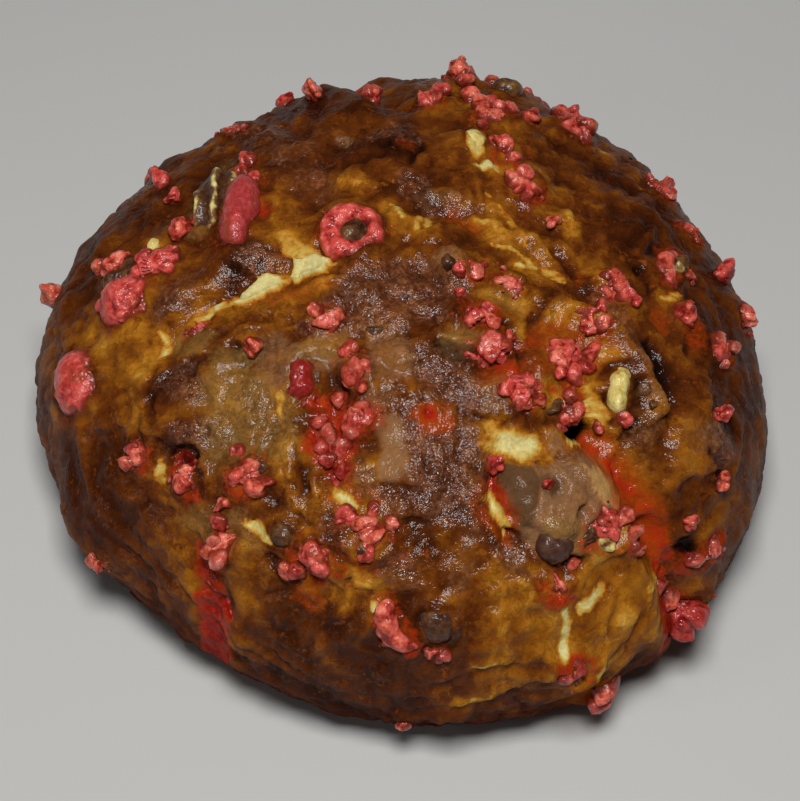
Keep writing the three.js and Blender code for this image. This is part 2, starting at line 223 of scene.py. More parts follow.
def path_gap(points, path):
    """Least distance from points to a chain of straight lines, the offset to the left of it seen from
    outside, and the length along it; a chain of one point is a spot."""
    least = np.full(len(points), np.inf)
    left = np.zeros(len(points))
    along = np.zeros(len(points))
    if len(path) == 1:
        return np.linalg.norm(points - path[0], axis=1), left, along
    walked = 0
    for start, end in zip(path[:-1], path[1:]):
        line = end - start
        share = (points - start) @ line / (line @ line)
        offset = points - start - np.clip(share, 0, 1)[:, None] * line
        gap = np.linalg.norm(offset, axis=1)
        closer = gap < least
        least = np.where(closer, gap, least)
        left = np.where(closer, offset @ unit(np.cross(start - HEART, line)), left)
        along = np.where(closer, walked + share * np.linalg.norm(line), along)
        walked += np.linalg.norm(line)
    return least, left, along


def bell(gap, wide):
    """A bell curve that has fallen to about a third at half the width."""
    return np.exp(-((2 * gap / wide) ** 2))


def solid_relief(points):
    """Height of the solid's skin over the dome: round knolls and soft-sided ridges and folds, dying away
    towards the underside."""
    knoll = np.arange(KNOLLS)
    knoll_lift = np.degrees(np.arcsin((knoll + 0.5) / KNOLLS)) + KNOLL_SCATTER * (draw(knoll, 2) * 2 - 1)
    knoll_bearing = knoll * GOLDEN_ANGLE + KNOLL_SCATTER * (draw(knoll, 1) * 2 - 1)
    places = np.stack([knoll_bearing, np.minimum(knoll_lift, TOP_LIFT)], axis=1)
    mounds = np.array(MOUNDS, float)
    centres = dome_path(np.concatenate([mounds[:, :2], places]))
    across = np.concatenate([mounds[:, 2], draw_between(KNOLL_ACROSS, knoll, 3)])
    high = np.concatenate([mounds[:, 3], draw_between(KNOLL_HIGH, knoll, 4)])
    height = np.zeros(len(points))
    for centre, width, rise in zip(centres, across, high):
        share = np.minimum(2 * np.linalg.norm(points - centre, axis=1) / width, 1)
        height += rise * (1 - share * share) ** 2
    for path, wide, rise in RIDGES:
        height += rise * bell(path_gap(points, dome_path(path))[0], wide)
    for path, wide, deep in FOLDS:
        height -= deep * bell(path_gap(points, dome_path(path))[0], wide)
    return height * fade(0, RELIEF_FADE, points[:, 2])


def cell_draw(cells, seed):
    """A repeatable draw between 0 and 1 for whole-number cells: their three numbers, mixed bit by bit."""
    x, y, z = np.moveaxis(cells.astype(np.int64).astype(np.uint32), -1, 0)
    mixed = (x * np.uint32(73856093)) ^ (y * np.uint32(19349663)) ^ (z * np.uint32(83492791))
    mixed = (mixed ^ np.uint32(seed * 2654435761 % 2**32)) * np.uint32(2246822519)
    mixed = (mixed ^ (mixed >> np.uint32(15))) * np.uint32(3266489917)
    return (mixed ^ (mixed >> np.uint32(16))) / 2**32


def soft_noise(points, size, seed):
    """Smooth noise between -1 and 1: draws at the corners of cells of a size, blended in between."""
    low = np.floor(points / size)
    share = points / size - low
    share = share * share * (3 - 2 * share)
    sides = [1 - share, share]
    total = np.zeros(points.shape[:-1])
    for x, y, z in np.ndindex(2, 2, 2):
        weight = sides[x][..., 0] * sides[y][..., 1] * sides[z][..., 2]
        total += weight * cell_draw(low + [x, y, z], seed)
    return total * 2 - 1


def cell_gap(points, size, seed):
    """Distance, in cells of a size, to the nearest of the spots drawn one in each cell."""
    low = np.floor(points / size)
    nearest = np.full(points.shape[:-1], np.inf)
    for corner in np.ndindex(3, 3, 3):
        cell = low + np.array(corner) - 1
        spot = cell + np.stack([cell_draw(cell, seed + axis) for axis in range(3)], axis=-1)
        nearest = np.minimum(nearest, np.linalg.norm(points / size - spot, axis=-1))
    return nearest


def drift(points, size, reach, seed):
    """Points carried about by smooth noise, so that what is drawn on them gets uneven edges."""
    return points + reach * np.stack([soft_noise(points, size, seed + axis) for axis in range(3)], axis=-1)


# Marks on the skin that the photograph shows: width in millimetres, strength, and the pixels of a path
TORN = [  # pale crumb laid open by a tear
    (4.0, 0.5, [(190, 324), (214, 305), (240, 295), (270, 276), (300, 265), (332, 266)]),
    (3.6, 0.95, [(198, 318), (216, 302)]),
    (3.2, 0.7, [(160, 333), (161, 354)]),
    (3.0, 0.7, [(396, 207), (402, 222)]),
    (2.6, 0.7, [(427, 212), (428, 228)]),
    (4.2, 0.9, [(477, 168), (493, 175)]),
    (2.6, 0.8, [(509, 177), (513, 184)]),
    (2.4, 0.6, [(492, 240), (520, 251), (538, 262)]),
    (2.8, 0.5, [(474, 214), (494, 224), (506, 240)]),
    (2.2, 0.42, [(486, 196), (508, 216), (528, 244)]),
    (2.4, 0.6, [(420, 214), (416, 232)]),
    (2.4, 0.5, [(548, 262), (566, 280)]),
    (4.0, 0.3, [(566, 312), (584, 322), (590, 340)]),
    (4.0, 0.5, [(596, 400), (600, 424)]),
    (2.6, 0.8, [(518, 263), (540, 264)]),
    (1.8, 0.4, [(568, 214), (570, 236)]),
    (6.5, 0.6, [(508, 444), (524, 446), (542, 449)]),
    (8.0, 0.45, [(492, 424), (490, 440), (504, 456)]),
    (2.6, 0.8, [(488, 498), (500, 518), (508, 540)]),
    (4.0, 0.8, [(574, 443), (577, 444)]),
    (3.0, 0.7, [(591, 396), (593, 416)]),
    (3.4, 1.0, [(562, 606), (568, 622), (565, 640), (560, 653)]),
    (3.0, 0.6, [(642, 583), (660, 581)]),
    (2.0, 0.8, [(474, 665), (492, 661), (508, 660)]),
    (1.8, 0.7, [(457, 702), (480, 698), (505, 687)]),
    (2.4, 0.8, [(598, 653), (589, 666)]),
    (3.6, 0.6, [(162, 460), (165, 479)]),
    (2.8, 1.0, [(374, 601), (378, 609)]),
    (2.2, 0.4, [(597, 151), (608, 158)]),
    (2.2, 0.35, [(632, 183), (642, 188)]),
    (2.6, 0.6, [(660, 298), (676, 296)]),
    (2.4, 0.8, [(156, 246), (158, 254)]),
    (3.0, 0.5, [(284, 392), (280, 412)]),
    (2.2, 0.45, [(337, 183), (365, 185), (394, 182)]),
]
GOLDEN = [  # skin that came late to the heat
    (15, 0.8, [(95, 338), (120, 345), (150, 362)]),
    (7, 0.9, [(200, 324), (246, 302), (285, 290), (325, 284)]),
    (9, 0.7, [(215, 392), (230, 406)]),
    (9, 0.9, [(388, 210), (396, 230)]),
    (8, 0.8, [(284, 236), (304, 246), (318, 254)]),
    (4, 0.4, [(334, 180), (365, 184), (397, 178)]),
    (16, 0.9, [(470, 200), (500, 230), (540, 258)]),
    (18, 0.5, [(552, 310), (580, 322), (592, 350)]),
    (14, 0.7, [(440, 260), (480, 280), (520, 300)]),
    (5, 0.9, [(569, 215), (572, 240), (580, 262), (593, 279)]),
    (12, 0.8, [(500, 432), (520, 444), (545, 450)]),
    (8, 0.8, [(594, 395), (596, 420), (602, 440)]),
    (9, 0.7, [(312, 572), (330, 592), (344, 600)]),
    (8, 0.7, [(363, 572), (384, 586)]),
    (7, 0.7, [(490, 495), (505, 515), (511, 541)]),
    (8, 0.6, [(500, 562), (522, 580)]),
    (20, 0.8, [(505, 610), (535, 625), (560, 640)]),
    (24, 0.8, [(600, 585), (618, 615), (600, 655)]),
    (22, 0.55, [(480, 570), (495, 605), (500, 650)]),
    (14, 0.7, [(640, 545), (652, 575), (640, 640)]),
    (8, 0.9, [(654, 590), (652, 612), (648, 642)]),
    (10, 0.8, [(340, 495), (362, 505)]),
    (8, 0.4, [(176, 580), (190, 610)]),
    (12, 0.15, [(330, 640), (420, 690)]),
    (18, 0.45, [(490, 680), (530, 680), (575, 685)]),
    (8, 0.7, [(526, 334), (550, 328), (576, 336)]),
    (12, 1.0, [(604, 455), (640, 480), (650, 520)]),
    (9, 0.6, [(640, 560), (655, 535), (700, 530)]),
    (16, 0.9, [(540, 250), (566, 268)]),
    (16, 1.0, [(516, 380), (570, 410)]),
    (14, 0.8, [(292, 450), (302, 500)]),
    (10, 0.5, [(240, 545), (262, 560)]),
    (18, 0.7, [(550, 565), (595, 596)]),
    (14, 0.4, [(430, 130), (450, 160)]),
    (12, 0.4, [(560, 180), (590, 210)]),
    (24, 0.3, [(640, 440), (650, 490), (636, 560)]),
    (20, 0.8, [(635, 540), (650, 600)]),
    (16, 0.75, [(588, 380), (600, 440)]),
    (14, 0.4, [(556, 340), (590, 345)]),
    (16, 0.8, [(560, 590), (640, 570)]),
    (10, 0.4, [(168, 560), (190, 590)]),
    (7, 0.55, [(244, 590), (252, 615)]),
    (8, 0.6, [(300, 620), (330, 660)]),
    (12, 0.9, [(552, 424), (580, 436)]),
    (20, 0.9, [(556, 560), (630, 572)]),
    (12, 0.5, [(126, 402), (166, 420)]),
]
DARK = [  # skin that the heat caught first; one row is painted shade
    (8, 0.9, [(238, 264), (264, 254)]),
    (16, 0.4, [(262, 150), (305, 152), (320, 168)]),
    (22, 0.6, [(70, 460), (105, 488), (140, 500)]),
    (12, 0.9, [(288, 600), (292, 632)]),
    (26, 0.9, [(300, 640), (390, 665), (460, 640)]),
    (34, 0.8, [(640, 240), (690, 275), (740, 390)]),
    # painted shade beside the crest, where the fold overhangs
    (9, 0.9, [(655, 350), (668, 388)]),
    (9, 0.9, [(700, 452), (715, 474)]),
    (14, 0.5, [(720, 380), (740, 420)]),
    (9, 0.8, [(440, 300), (470, 318)]),
    (7, 0.9, [(455, 348), (480, 356)]),
    (8, 0.3, [(520, 405), (560, 418)]),
    (10, 0.7, [(395, 160), (420, 180)]),
    (12, 0.8, [(345, 145), (380, 160), (415, 150)]),
    (10, 0.7, [(630, 400), (640, 430)]),
    (9, 0.7, [(160, 390), (166, 410)]),
    (8, 0.7, [(246, 360), (250, 352)]),
    (18, 0.5, [(70, 300), (100, 250), (160, 200)]),
    (10, 0.8, [(545, 552), (560, 560)]),
    (10, 0.7, [(432, 625), (445, 640)]),
    (7, 0.7, [(250, 620), (270, 650)]),
    (22, 0.7, [(690, 350), (708, 400), (725, 450)]),
    (20, 0.5, [(190, 620), (260, 670), (330, 700)]),
    (14, 0.6, [(372, 148), (412, 148)]),
    (20, 0.5, [(110, 470), (190, 462), (285, 478)]),
]
TAUPE = [  # dull smooth skin over a buried nut
    (7, 0.7, [(393, 426), (394, 448), (391, 470)]),
    (12, 0.8, [(590, 465), (603, 485), (608, 508)]),
    (9, 0.6, [(560, 480), (575, 500)]),
    (12, 0.6, [(372, 340), (386, 356), (402, 366)]),
    (6, 0.8, [(443, 265)]),
    (4, 0.9, [(374, 330)]),
    (9, 0.35, [(470, 535), (460, 570), (455, 610)]),
    (8, 0.5, [(262, 345), (275, 355)]),
    (6, 0.45, [(630, 350), (645, 380), (652, 402)]),
    (5, 0.6, [(498, 380), (490, 410)]),
    (9, 0.5, [(700, 420), (700, 440)]),
    (8, 0.4, [(330, 350), (318, 360)]),
    (16, 0.6, [(264, 350), (290, 366), (322, 362)]),
    (14, 0.5, [(372, 370), (384, 400)]),
    (12, 0.5, [(312, 350), (340, 342)]),
    (7, 0.6, [(342, 139)]),
]
OLIVE = [  # thin greenish gold skin
    (24, 0.8, [(228, 382), (246, 412), (236, 436)]),
    (9, 0.8, [(172, 346), (205, 345)]),
    (9, 0.7, [(288, 396), (282, 412)]),
    (10, 0.9, [(452, 342), (478, 344)]),
    (9, 0.5, [(490, 300), (516, 304)]),
    (12, 0.6, [(330, 350), (312, 352)]),
    (14, 0.7, [(262, 440), (290, 440)]),
    (12, 0.6, [(190, 520), (250, 530)]),
    (10, 0.7, [(560, 545), (590, 540)]),
    (12, 0.3, [(640, 395), (655, 430), (640, 460)]),
    (12, 0.5, [(200, 230), (220, 170)]),
    (40, 0.1, [(180, 570), (250, 630), (330, 680)]),
]
SLATE = [  # grey-brown shaded faces
    (9, 0.8, [(514, 470), (514, 500), (520, 522)]),
    (6, 0.8, [(446, 350), (475, 352)]),
    (8, 0.6, [(430, 622), (450, 634)]),
    (5, 0.7, [(114, 272), (140, 268)]),
    (6, 0.6, [(420, 195), (440, 196)]),
]
BLISTERED = [  # fine blisters in the glaze, which glitter
    (15, 1.0, [(345, 302), (366, 290), (396, 280), (424, 276), (455, 284)]),
    (12, 0.9, [(350, 320), (390, 312), (430, 308)]),
    (14, 0.9, [(430, 366), (452, 384), (472, 402)]),
    (24, 1.0, [(424, 430), (446, 462), (466, 500)]),
    (9, 1.0, [(172, 376), (190, 386), (204, 396)]),
    (8, 0.9, [(186, 426), (210, 430), (226, 442)]),
    (11, 0.8, [(255, 384), (262, 412)]),
    (7, 0.9, [(306, 328), (318, 334)]),
    (9, 0.8, [(168, 310), (186, 290), (200, 276)]),
    (9, 0.7, [(500, 545), (520, 570)]),
    (10, 0.7, [(390, 560), (410, 576)]),
    (8, 0.8, [(540, 545), (560, 556)]),
    (9, 0.7, [(250, 262), (270, 256)]),
    (7, 0.7, [(430, 200), (466, 205)]),
    (9, 0.6, [(700, 420), (718, 470)]),
    (8, 0.7, [(560, 470), (575, 462)]),
    (12, 0.6, [(330, 520), (370, 520)]),
    (9, 0.6, [(600, 300), (640, 360)]),
    (10, 0.6, [(380, 400), (400, 410)]),
    (9, 0.7, [(350, 460), (370, 480), (400, 500)]),
    (8, 0.6, [(655, 420), (640, 440)]),
    (8, 0.9, [(376, 135), (396, 131), (414, 140)]),
    (12, 0.7, [(545, 518), (575, 532)]),
    (6, 0.9, [(342, 139)]),
    (10, 0.7, [(405, 180), (424, 192)]),
    (12, 0.5, [(240, 130), (300, 170), (320, 190)]),
]
SYRUP = [  # melted red sugar
    (7, 0.9, [(198, 550), (204, 576), (209, 596)]),
    (11.5, 1.1, [(211, 592), (214, 622), (216, 660)]),
    (2.6, 1.6, [(207, 582), (220, 600), (231, 617)]),
    (4.0, 0.5, [(592, 442), (604, 452), (613, 462)]),
    (4.5, 0.6, [(616, 466), (640, 498), (655, 526)]),
    (8, 0.5, [(655, 525), (664, 550), (668, 575)]),
    (7, 0.85, [(668, 570), (668, 590), (665, 610)]),
    (6, 1.0, [(665, 605), (660, 640)]),
    (12, 0.75, [(320, 408), (332, 424), (326, 445), (334, 470)]),
    (6, 0.5, [(332, 470), (348, 486)]),
    (3.0, 1.35, [(427, 413)]),
    (6, 0.9, [(187, 461)]),
    (8, 0.6, [(545, 590), (562, 600)]),
    (8, 0.6, [(560, 664), (572, 652)]),
    (3, 0.7, [(497, 478), (500, 500), (508, 520)]),
    (6, 0.3, [(690, 326), (694, 346)]),
    (9, 0.5, [(560, 390), (590, 410)]),
    (6, 0.9, [(636, 548), (628, 540)]),
    (5, 0.9, [(585, 430)]),
    (7, 0.6, [(480, 350), (520, 380)]),
    (6, 0.5, [(680, 560), (690, 575)]),
]
AMBER = [  # thin orange sugar
    (9.5, 1.7, [(592, 440), (606, 452), (624, 474), (641, 498), (655, 526), (664, 552)]),
    (9, 0.9, [(486, 496), (498, 518), (508, 540)]),
    (8, 0.7, [(532, 340), (552, 332), (576, 338)]),
    (9, 0.6, [(298, 574), (312, 602)]),
    (9, 0.6, [(450, 212), (472, 224)]),
    (8, 0.6, [(546, 592), (562, 602)]),
    (6, 0.6, [(655, 310), (664, 330)]),
    (8, 0.6, [(520, 372), (546, 362)]),
    (7, 0.6, [(480, 372), (505, 372)]),
    (7, 0.6, [(246, 300), (285, 292), (325, 286)]),
    (7, 0.5, [(330, 500), (352, 512)]),
    (6, 0.15, [(240, 462), (262, 470)]),
    (8, 0.5, [(590, 375), (606, 350)]),
    (7, 0.6, [(206, 560), (222, 566)]),
    (8, 0.5, [(560, 664), (575, 655)]),
    (6, 0.6, [(405, 147)]),
    (9, 0.6, [(690, 326), (694, 346)]),
]

# Hidden side: marks of the same kinds, width, strength, bearing and lift
BACK_TORN = [
    (5, 1.0, [(101, 3), (96, 14)]),
    (4.5, 0.9, [(136, 6), (131, 14)]),
    (3.5, 0.8, [(44, 7), (52, 13)]),
]
BACK_SYRUP = [
    (9, 1.0, [(103, 9), (99, 20)]),
    (7, 0.9, [(62, 16), (70, 4)]),
    (8, 0.7, [(126, 4), (124, -6)]),
]
BACK_GOLDEN = [
    (16, 0.7, [(120, 16), (140, 10)]),
    (18, 0.7, [(50, 12), (66, 20)]),
    (14, 0.7, [(88, 6), (80, -4)]),
]
BACK_DARK = [
    (20, 0.7, [(110, 26), (128, 28)]),
    (22, 0.7, [(30, 4), (40, 12)]),
    (18, 0.7, [(150, 10), (160, 2)]),
]
BACK_BLISTERED = [
    (14, 0.8, [(76, 20), (86, 26)]),
    (12, 0.8, [(144, 20), (150, 14)]),
    (12, 0.7, [(36, 20), (30, 12)]),
]
MARK_KINDS = {  # marks seen, marks on the hidden side, and the share of the half width over which edges fade
    "torn": (TORN, BACK_TORN, 1.2),
    "golden": (GOLDEN, BACK_GOLDEN, 1.5),
    "dark": (DARK, BACK_DARK, 1.5),
    "taupe": (TAUPE, [], 1.2),
    "slate": (SLATE, [], 1.2),
    "olive": (OLIVE, [], 1.5),
    "amber": (AMBER, [], 1.2),
    "blistered": (BLISTERED, BACK_BLISTERED, 1.5),
    "syrup": (SYRUP, BACK_SYRUP, 1.4),
}

# Sharp lips where one fold of skin overlaps the next: the path has the overlapping skin on its left
LIPS = [  # high, pixels
    (1.6, [(655, 402), (640, 366), (602, 320), (556, 296)]),
    (1.4, [(505, 322), (520, 352), (536, 392)]),
    (1.0, [(462, 408), (480, 414), (500, 420)]),
    (2.4, [(506, 466), (498, 496), (508, 528), (540, 546)]),
    (1.2, [(250, 345), (275, 338), (310, 328)]),
    (1.4, [(160, 415), (156, 395), (172, 372), (205, 358)]),
    (1.2, [(640, 600), (628, 630), (596, 660), (570, 672)]),
    (1.0, [(640, 560), (618, 575), (600, 605)]),
    (1.2, [(455, 345), (478, 358), (505, 354)]),
    (1.2, [(330, 180), (360, 190), (400, 186), (428, 200)]),
    (1.2, [(345, 490), (380, 482), (420, 486)]),
    (1.0, [(360, 584), (390, 592), (420, 590)]),
    (1.0, [(290, 560), (330, 578), (350, 600)]),
    (1.0, [(470, 667), (510, 662), (550, 664)]),
    (1.0, [(455, 704), (490, 698), (520, 686)]),
    (1.2, [(645, 225), (632, 250), (640, 280)]),
    (1.2, [(690, 400), (672, 420), (668, 460)]),
    (1.0, [(725, 410), (735, 440), (720, 480)]),
    (1.0, [(100, 430), (140, 425), (170, 440)]),
    (1.0, [(272, 250), (300, 240)]),
]
CREASES = [  # wide, deep, pixels: gaps under a lip or beside a piece, sunk into the relief and darkened with painted shade
    (2.6, 2.4, [(438, 344), (456, 356), (482, 357)]),
    (2.6, 2.0, [(499, 470), (497, 500), (501, 526), (516, 541)]),
    (4.5, 2.0, [(648, 345), (662, 372), (665, 402)]),
    (3.0, 1.6, [(548, 296), (532, 318), (530, 345)]),
    (2.2, 1.6, [(506, 324), (520, 350), (530, 375), (536, 395)]),
    (2.2, 1.2, [(458, 404), (478, 418), (497, 430)]),
    (2.4, 1.6, [(611, 366), (609, 395), (612, 422)]),
    (2.6, 1.6, [(634, 382), (637, 405), (632, 428)]),
    (5.0, 1.4, [(505, 405), (530, 418), (560, 424)]),
    (3.4, 1.8, [(236, 346), (244, 362)]),
    (2.4, 1.4, [(160, 368), (155, 390), (160, 416)]),
    (2.4, 1.4, [(330, 375), (345, 388), (340, 398)]),
    (2.4, 1.4, [(296, 446), (300, 470), (306, 492)]),
    (2.2, 1.2, [(210, 300), (228, 288), (240, 270)]),
    (2.2, 1.2, [(430, 196), (446, 208), (470, 210)]),
    (2.6, 1.6, [(545, 555), (562, 566), (580, 560)]),
    (2.6, 1.6, [(425, 616), (442, 622), (450, 640)]),
    (2.4, 1.4, [(196, 188), (210, 216), (222, 226)]),
    (2.4, 1.4, [(384, 186), (412, 180), (426, 190)]),
    (2.4, 1.6, [(700, 448), (714, 462), (720, 482)]),
    (2.4, 1.4, [(560, 250), (574, 270), (592, 282)]),
    (2.4, 1.4, [(648, 250), (640, 270), (650, 290)]),
    (2.4, 1.4, [(678, 312), (690, 330), (686, 350)]),
    (2.2, 1.2, [(176, 452), (198, 450), (204, 470)]),
    (2.2, 1.2, [(270, 556), (280, 572), (300, 582)]),
    (2.2, 1.2, [(330, 520), (336, 540), (350, 556)]),
    (2.2, 1.2, [(482, 506), (486, 530), (496, 548)]),
    (2.0, 1.6, [(536, 462), (541, 474), (537, 498), (526, 510)]),
    (1.6, 1.4, [(539, 486), (540, 476), (549, 472), (557, 478), (557, 488), (549, 492)]),
    (1.6, 1.2, [(563, 494), (570, 487), (580, 490), (582, 500), (574, 505)]),
    (2.0, 1.5, [(560, 462), (570, 474), (584, 490), (596, 504), (590, 522)]),
    (2.2, 1.6, [(516, 516), (528, 527), (540, 530), (552, 541), (568, 546)]),
    (1.8, 1.2, [(548, 508), (560, 518), (575, 524)]),
    (2.2, 1.6, [(368, 140), (380, 130), (398, 129), (414, 135), (422, 148), (412, 159)]),
    (2.0, 1.6, [(405, 178), (415, 183), (424, 190)]),
]
SLABS = [  # high, edge, kind of skin, its strength, outline in pixels: flat pieces of skin with steep edges
    (1.2, 1.6, "taupe", 0.9, [
        (506, 464), (552, 460), (582, 456), (600, 464), (616, 480), (626, 498), (618, 508),
        (594, 526), (580, 548), (556, 562), (530, 548), (517, 519), (502, 506), (501, 482)]),
    (-0.5, 1.2, "slate", 1.0, [(503, 468), (528, 463), (538, 478), (534, 498), (522, 510), (503, 506)]),
    (0.6, 1.0, "olive", 0.8, [(540, 508), (566, 512), (582, 524), (576, 546), (552, 540), (536, 526)]),
    (0.4, 1.0, "taupe", 1.5, [
        (570, 460), (598, 464), (614, 478), (622, 496), (612, 505), (596, 502), (586, 488)]),
    (0.5, 1.4, "amber", 2.0, [
        (457, 420), (450, 431), (434, 435), (418, 428), (410, 416), (418, 406), (432, 402), (448, 409)]),
    (0.5, 1.2, "taupe", 0.6, [(548, 430), (562, 428), (576, 452), (552, 458)]),
    (0.7, 1.4, "taupe", 0.6, [(366, 326), (388, 330), (412, 352), (410, 374), (386, 366), (366, 346)]),
    (0.7, 2.0, "taupe", 0.95, [(379, 414), (402, 417), (409, 448), (399, 484), (380, 480), (381, 446)]),
    (-0.6, 1.8, "torn", 1.0, [
        (484, 426), (502, 432), (514, 429), (526, 436), (542, 440), (548, 452), (534, 457),
        (520, 463), (508, 456), (494, 452), (500, 442)]),
    (1.5, 0.9, "torn", 1.0, [
        (230, 304), (240, 287), (259, 273), (275, 271), (275, 286), (256, 297), (240, 305)]),
    (1.8, 0.9, "torn", 1.0, [
        (281, 272), (292, 255), (317, 251), (331, 259), (326, 275), (306, 274), (291, 280)]),
    (-0.3, 1.0, "torn", 0.6, [(276, 238), (296, 235), (318, 249), (326, 259), (300, 258), (282, 252)]),
    (-0.5, 0.9, "torn", 1.0, [(333, 490), (346, 494), (360, 505), (356, 511), (344, 504), (334, 498)]),
    (-0.5, 0.9, "torn", 0.9, [(246, 518), (258, 520), (274, 534), (276, 544), (264, 538), (252, 530)]),
    (-0.4, 0.9, "torn", 0.9, [(576, 604), (592, 590), (606, 586), (600, 598), (588, 608), (578, 614)]),
    (-0.4, 0.9, "torn", 0.8, [(462, 140), (478, 142), (484, 158), (474, 162), (464, 154)]),
    (1.5, 1.6, "blistered", 0.9, [
        (431, 262), (440, 251), (456, 250), (466, 262), (463, 278), (447, 284), (434, 276)]),
    (1.0, 1.6, "taupe", 0.32, [
        (672, 420), (690, 411), (706, 424), (711, 450), (700, 474), (680, 477), (668, 455)]),
]
WRINKLES = [  # wide, high, apart, pixels: folds that run along the path
    (26, 1.3, 4.5, [(650, 560), (618, 606), (590, 668)]),
    (20, 0.9, 4.0, [(520, 570), (540, 610), (556, 660)]),
    (16, 0.8, 3.5, [(450, 694), (500, 684), (560, 676)]),
    (14, 1.0, 3.5, [(470, 478), (490, 512), (512, 552)]),
    (15, 1.2, 3.2, [(474, 166), (492, 204), (520, 240), (562, 276)]),
    (16, 0.9, 4.0, [(560, 190), (574, 236), (600, 284)]),
    (16, 0.9, 3.6, [(190, 342), (246, 314), (326, 292)]),
    (12, 1.0, 3.0, [(586, 300), (624, 340), (654, 396)]),
    (12, 0.9, 3.0, [(600, 384), (600, 412), (606, 446)]),
    (26, 0.9, 5.0, [(90, 420), (110, 490), (160, 560)]),
    (26, 0.8, 4.5, [(190, 590), (240, 650), (310, 690)]),
    (24, 0.9, 4.0, [(330, 640), (372, 600), (420, 560)]),
    (20, 0.9, 4.5, [(700, 390), (690, 440), (664, 500)]),
    (24, 0.8, 5.0, [(640, 210), (680, 270), (720, 380)]),
    (22, 0.8, 4.5, [(300, 120), (270, 170), (262, 230)]),
    (20, 0.9, 4.0, [(330, 186), (380, 176), (430, 190)]),
    (24, 0.7, 4.5, [(110, 250), (150, 220), (190, 170)]),
    (20, 0.9, 3.6, [(330, 340), (300, 358), (262, 352)]),
    (20, 1.0, 3.6, [(210, 380), (232, 410), (236, 440)]),
    (18, 0.9, 3.4, [(300, 510), (340, 528), (390, 520)]),
    (16, 0.9, 3.6, [(640, 520), (660, 470), (650, 430)]),
    (26, 0.7, 4.5, [(400, 100), (450, 150), (500, 170)]),
    (13, 2.2, 2.2, [(522, 520), (550, 522), (580, 534)]),
    (9, 1.6, 2.0, [(556, 466), (566, 480), (580, 498)]),
]
BACK_WRINKLES = [  # wide, high, apart, bearing and lift
    (30, 1.0, 4.5, [(70, 4), (80, 20), (84, 36)]),
    (26, 0.9, 4.5, [(116, 2), (112, 16), (118, 30)]),
    (26, 0.9, 4.0, [(148, 2), (142, 16), (150, 28)]),
    (26, 0.9, 4.5, [(30, 2), (40, 14), (36, 28)]),
    (24, 0.9, 4.0, [(8, 2), (14, 10), (10, 20)]),
    (22, 0.9, 4.0, [(172, 2), (176, 14), (170, 24)]),
]
PITS = [  # across, deep, pixel: holes in the relief, darkened with painted shade
    (6, 6, (585, 432)),
    (6, 2.0, (690, 549)),
    (2.6, 1.6, (505, 356)),
    (3, 0.8, (427, 413)),
    (8, 1.7, (187, 458)),
    (6.5, 1.6, (548, 483)),
    (10, 1.0, (400, 147)),
    (4, 1.1, (575, 509)),
]

# How the marks are laid on
STIRS = [(9, 2.0, 11), (3, 1.1, 14)]  # cell size, reach and seed of the drifts that make edges uneven
TAPER = 0.3  # share of its width that a mark loses towards its ends
STRAND_WIDE = 2.2  # of the stretched strands in a tear
STRAND_LONG = 6
STRAND_SHARE = 0.3  # by which strands lift and lower a tear's cover
TEAR_HALO = 3  # times a tear's width over which the skin round it is golden
WRINKLE_LONG = 4  # a wrinkle's length against the gap to the next
WRINKLE_HIGH = 0.6  # against the heights in the rows
WRINKLE_ENDS = (1.5, 0.5)  # shares of the half width where wrinkles end and where they are full
WRINKLE_SHIFT = 7.3  # keeps one path's noise apart from the next one's
BILLOW_STEEP = 3.6
BILLOW_TOP = 2.4

# Skin round each piece, by distance as a share of the egg shape that the piece fills
EGG_SPREAD = 3  # an egg's squared half width against the variance of its corners
COLLAR_AT = 1.0
COLLAR_WIDE = 1.0
COLLAR_HIGH = 0.8  # millimetres, as the other heights are
COLLAR_UNEVEN = 1.5
SKIRT_FROM = 0.9
SKIRT_WIDE = 1.5
SKIRT_HIGH = 0.8
FOOT_SHADE_AT = 1.1  # painted shade: a dark ring at the piece's foot, where it meets the skin
FOOT_SHADE_WIDE = 0.5
STAIN_ENDS = (2.1, 0.9)  # where a praline's stain ends and where it is full
STAIN_SYRUP = (0.15, 0.65)  # strength, drawn for each praline
STAIN_AMBER = (0.2, 0.7)

# Rough and smooth skin
CROWN_FRONT = np.array([-5.0, -30.0, 76.0])  # about which the skin is most crumpled
CROWN_ACROSS = 150
CRUMPLE_LEAST = 0.25
CRUMPLE_CROWN = 0.6  # more about the crown
CRUMPLE_CALM = 0.7  # share lost on smooth skin and thick sugar
CRUMPLE_UNEVEN = 0.25
SLAB_BRINK = 6  # over which the skin sinks round a slab
SLAB_CALM = 0.7  # share of the wrinkles that a slab loses
PIT_CLEAR = 0.5  # a pit this deep has no collar in it
LIP_FRONT = 1.1  # how sharply a lip drops
LIP_BACK = 7  # how far its skin takes to sink back
LIP_UNDER = 0.6  # how deep the skin sinks below a lip, against the lip's height
LIP_UNDER_BACK = 2.5  # how far that takes to rise again
LIP_END = 2  # how far a lip runs on past its path
ROUGH_LEAST = 0.4  # against the billows' heights
ROUGH_CRUMPLED = 0.8
BILLOW_HIGH = 0.5
SMALL_BILLOW_HIGH = 0.27
BLISTER_HIGH = 0.13
SYRUP_HIGH = 1.2
SYRUP_HEAPS = (30, 60)  # heights over the underside between which syrup begins to lie in heaps
GRAIN_HIGH = 0.12
TORN_HIGH = 0.45
TORN_STRANDS = 0.4
TORN_FORM = [1, 1, 2.2]  # strands lie flat: their noise changes fastest upwards
SKIN_FADE = 6  # height over the underside at which the skin's own relief is full
PROFILE_STEPS = 400


def stirred(points):
    """Points carried about by up to 3 mm; a mark's path is carried with them, so that the mark keeps its
    place and only its edges turn uneven."""
    for size, reach, seed in STIRS:
        points = drift(points, size, reach, seed)
    return points


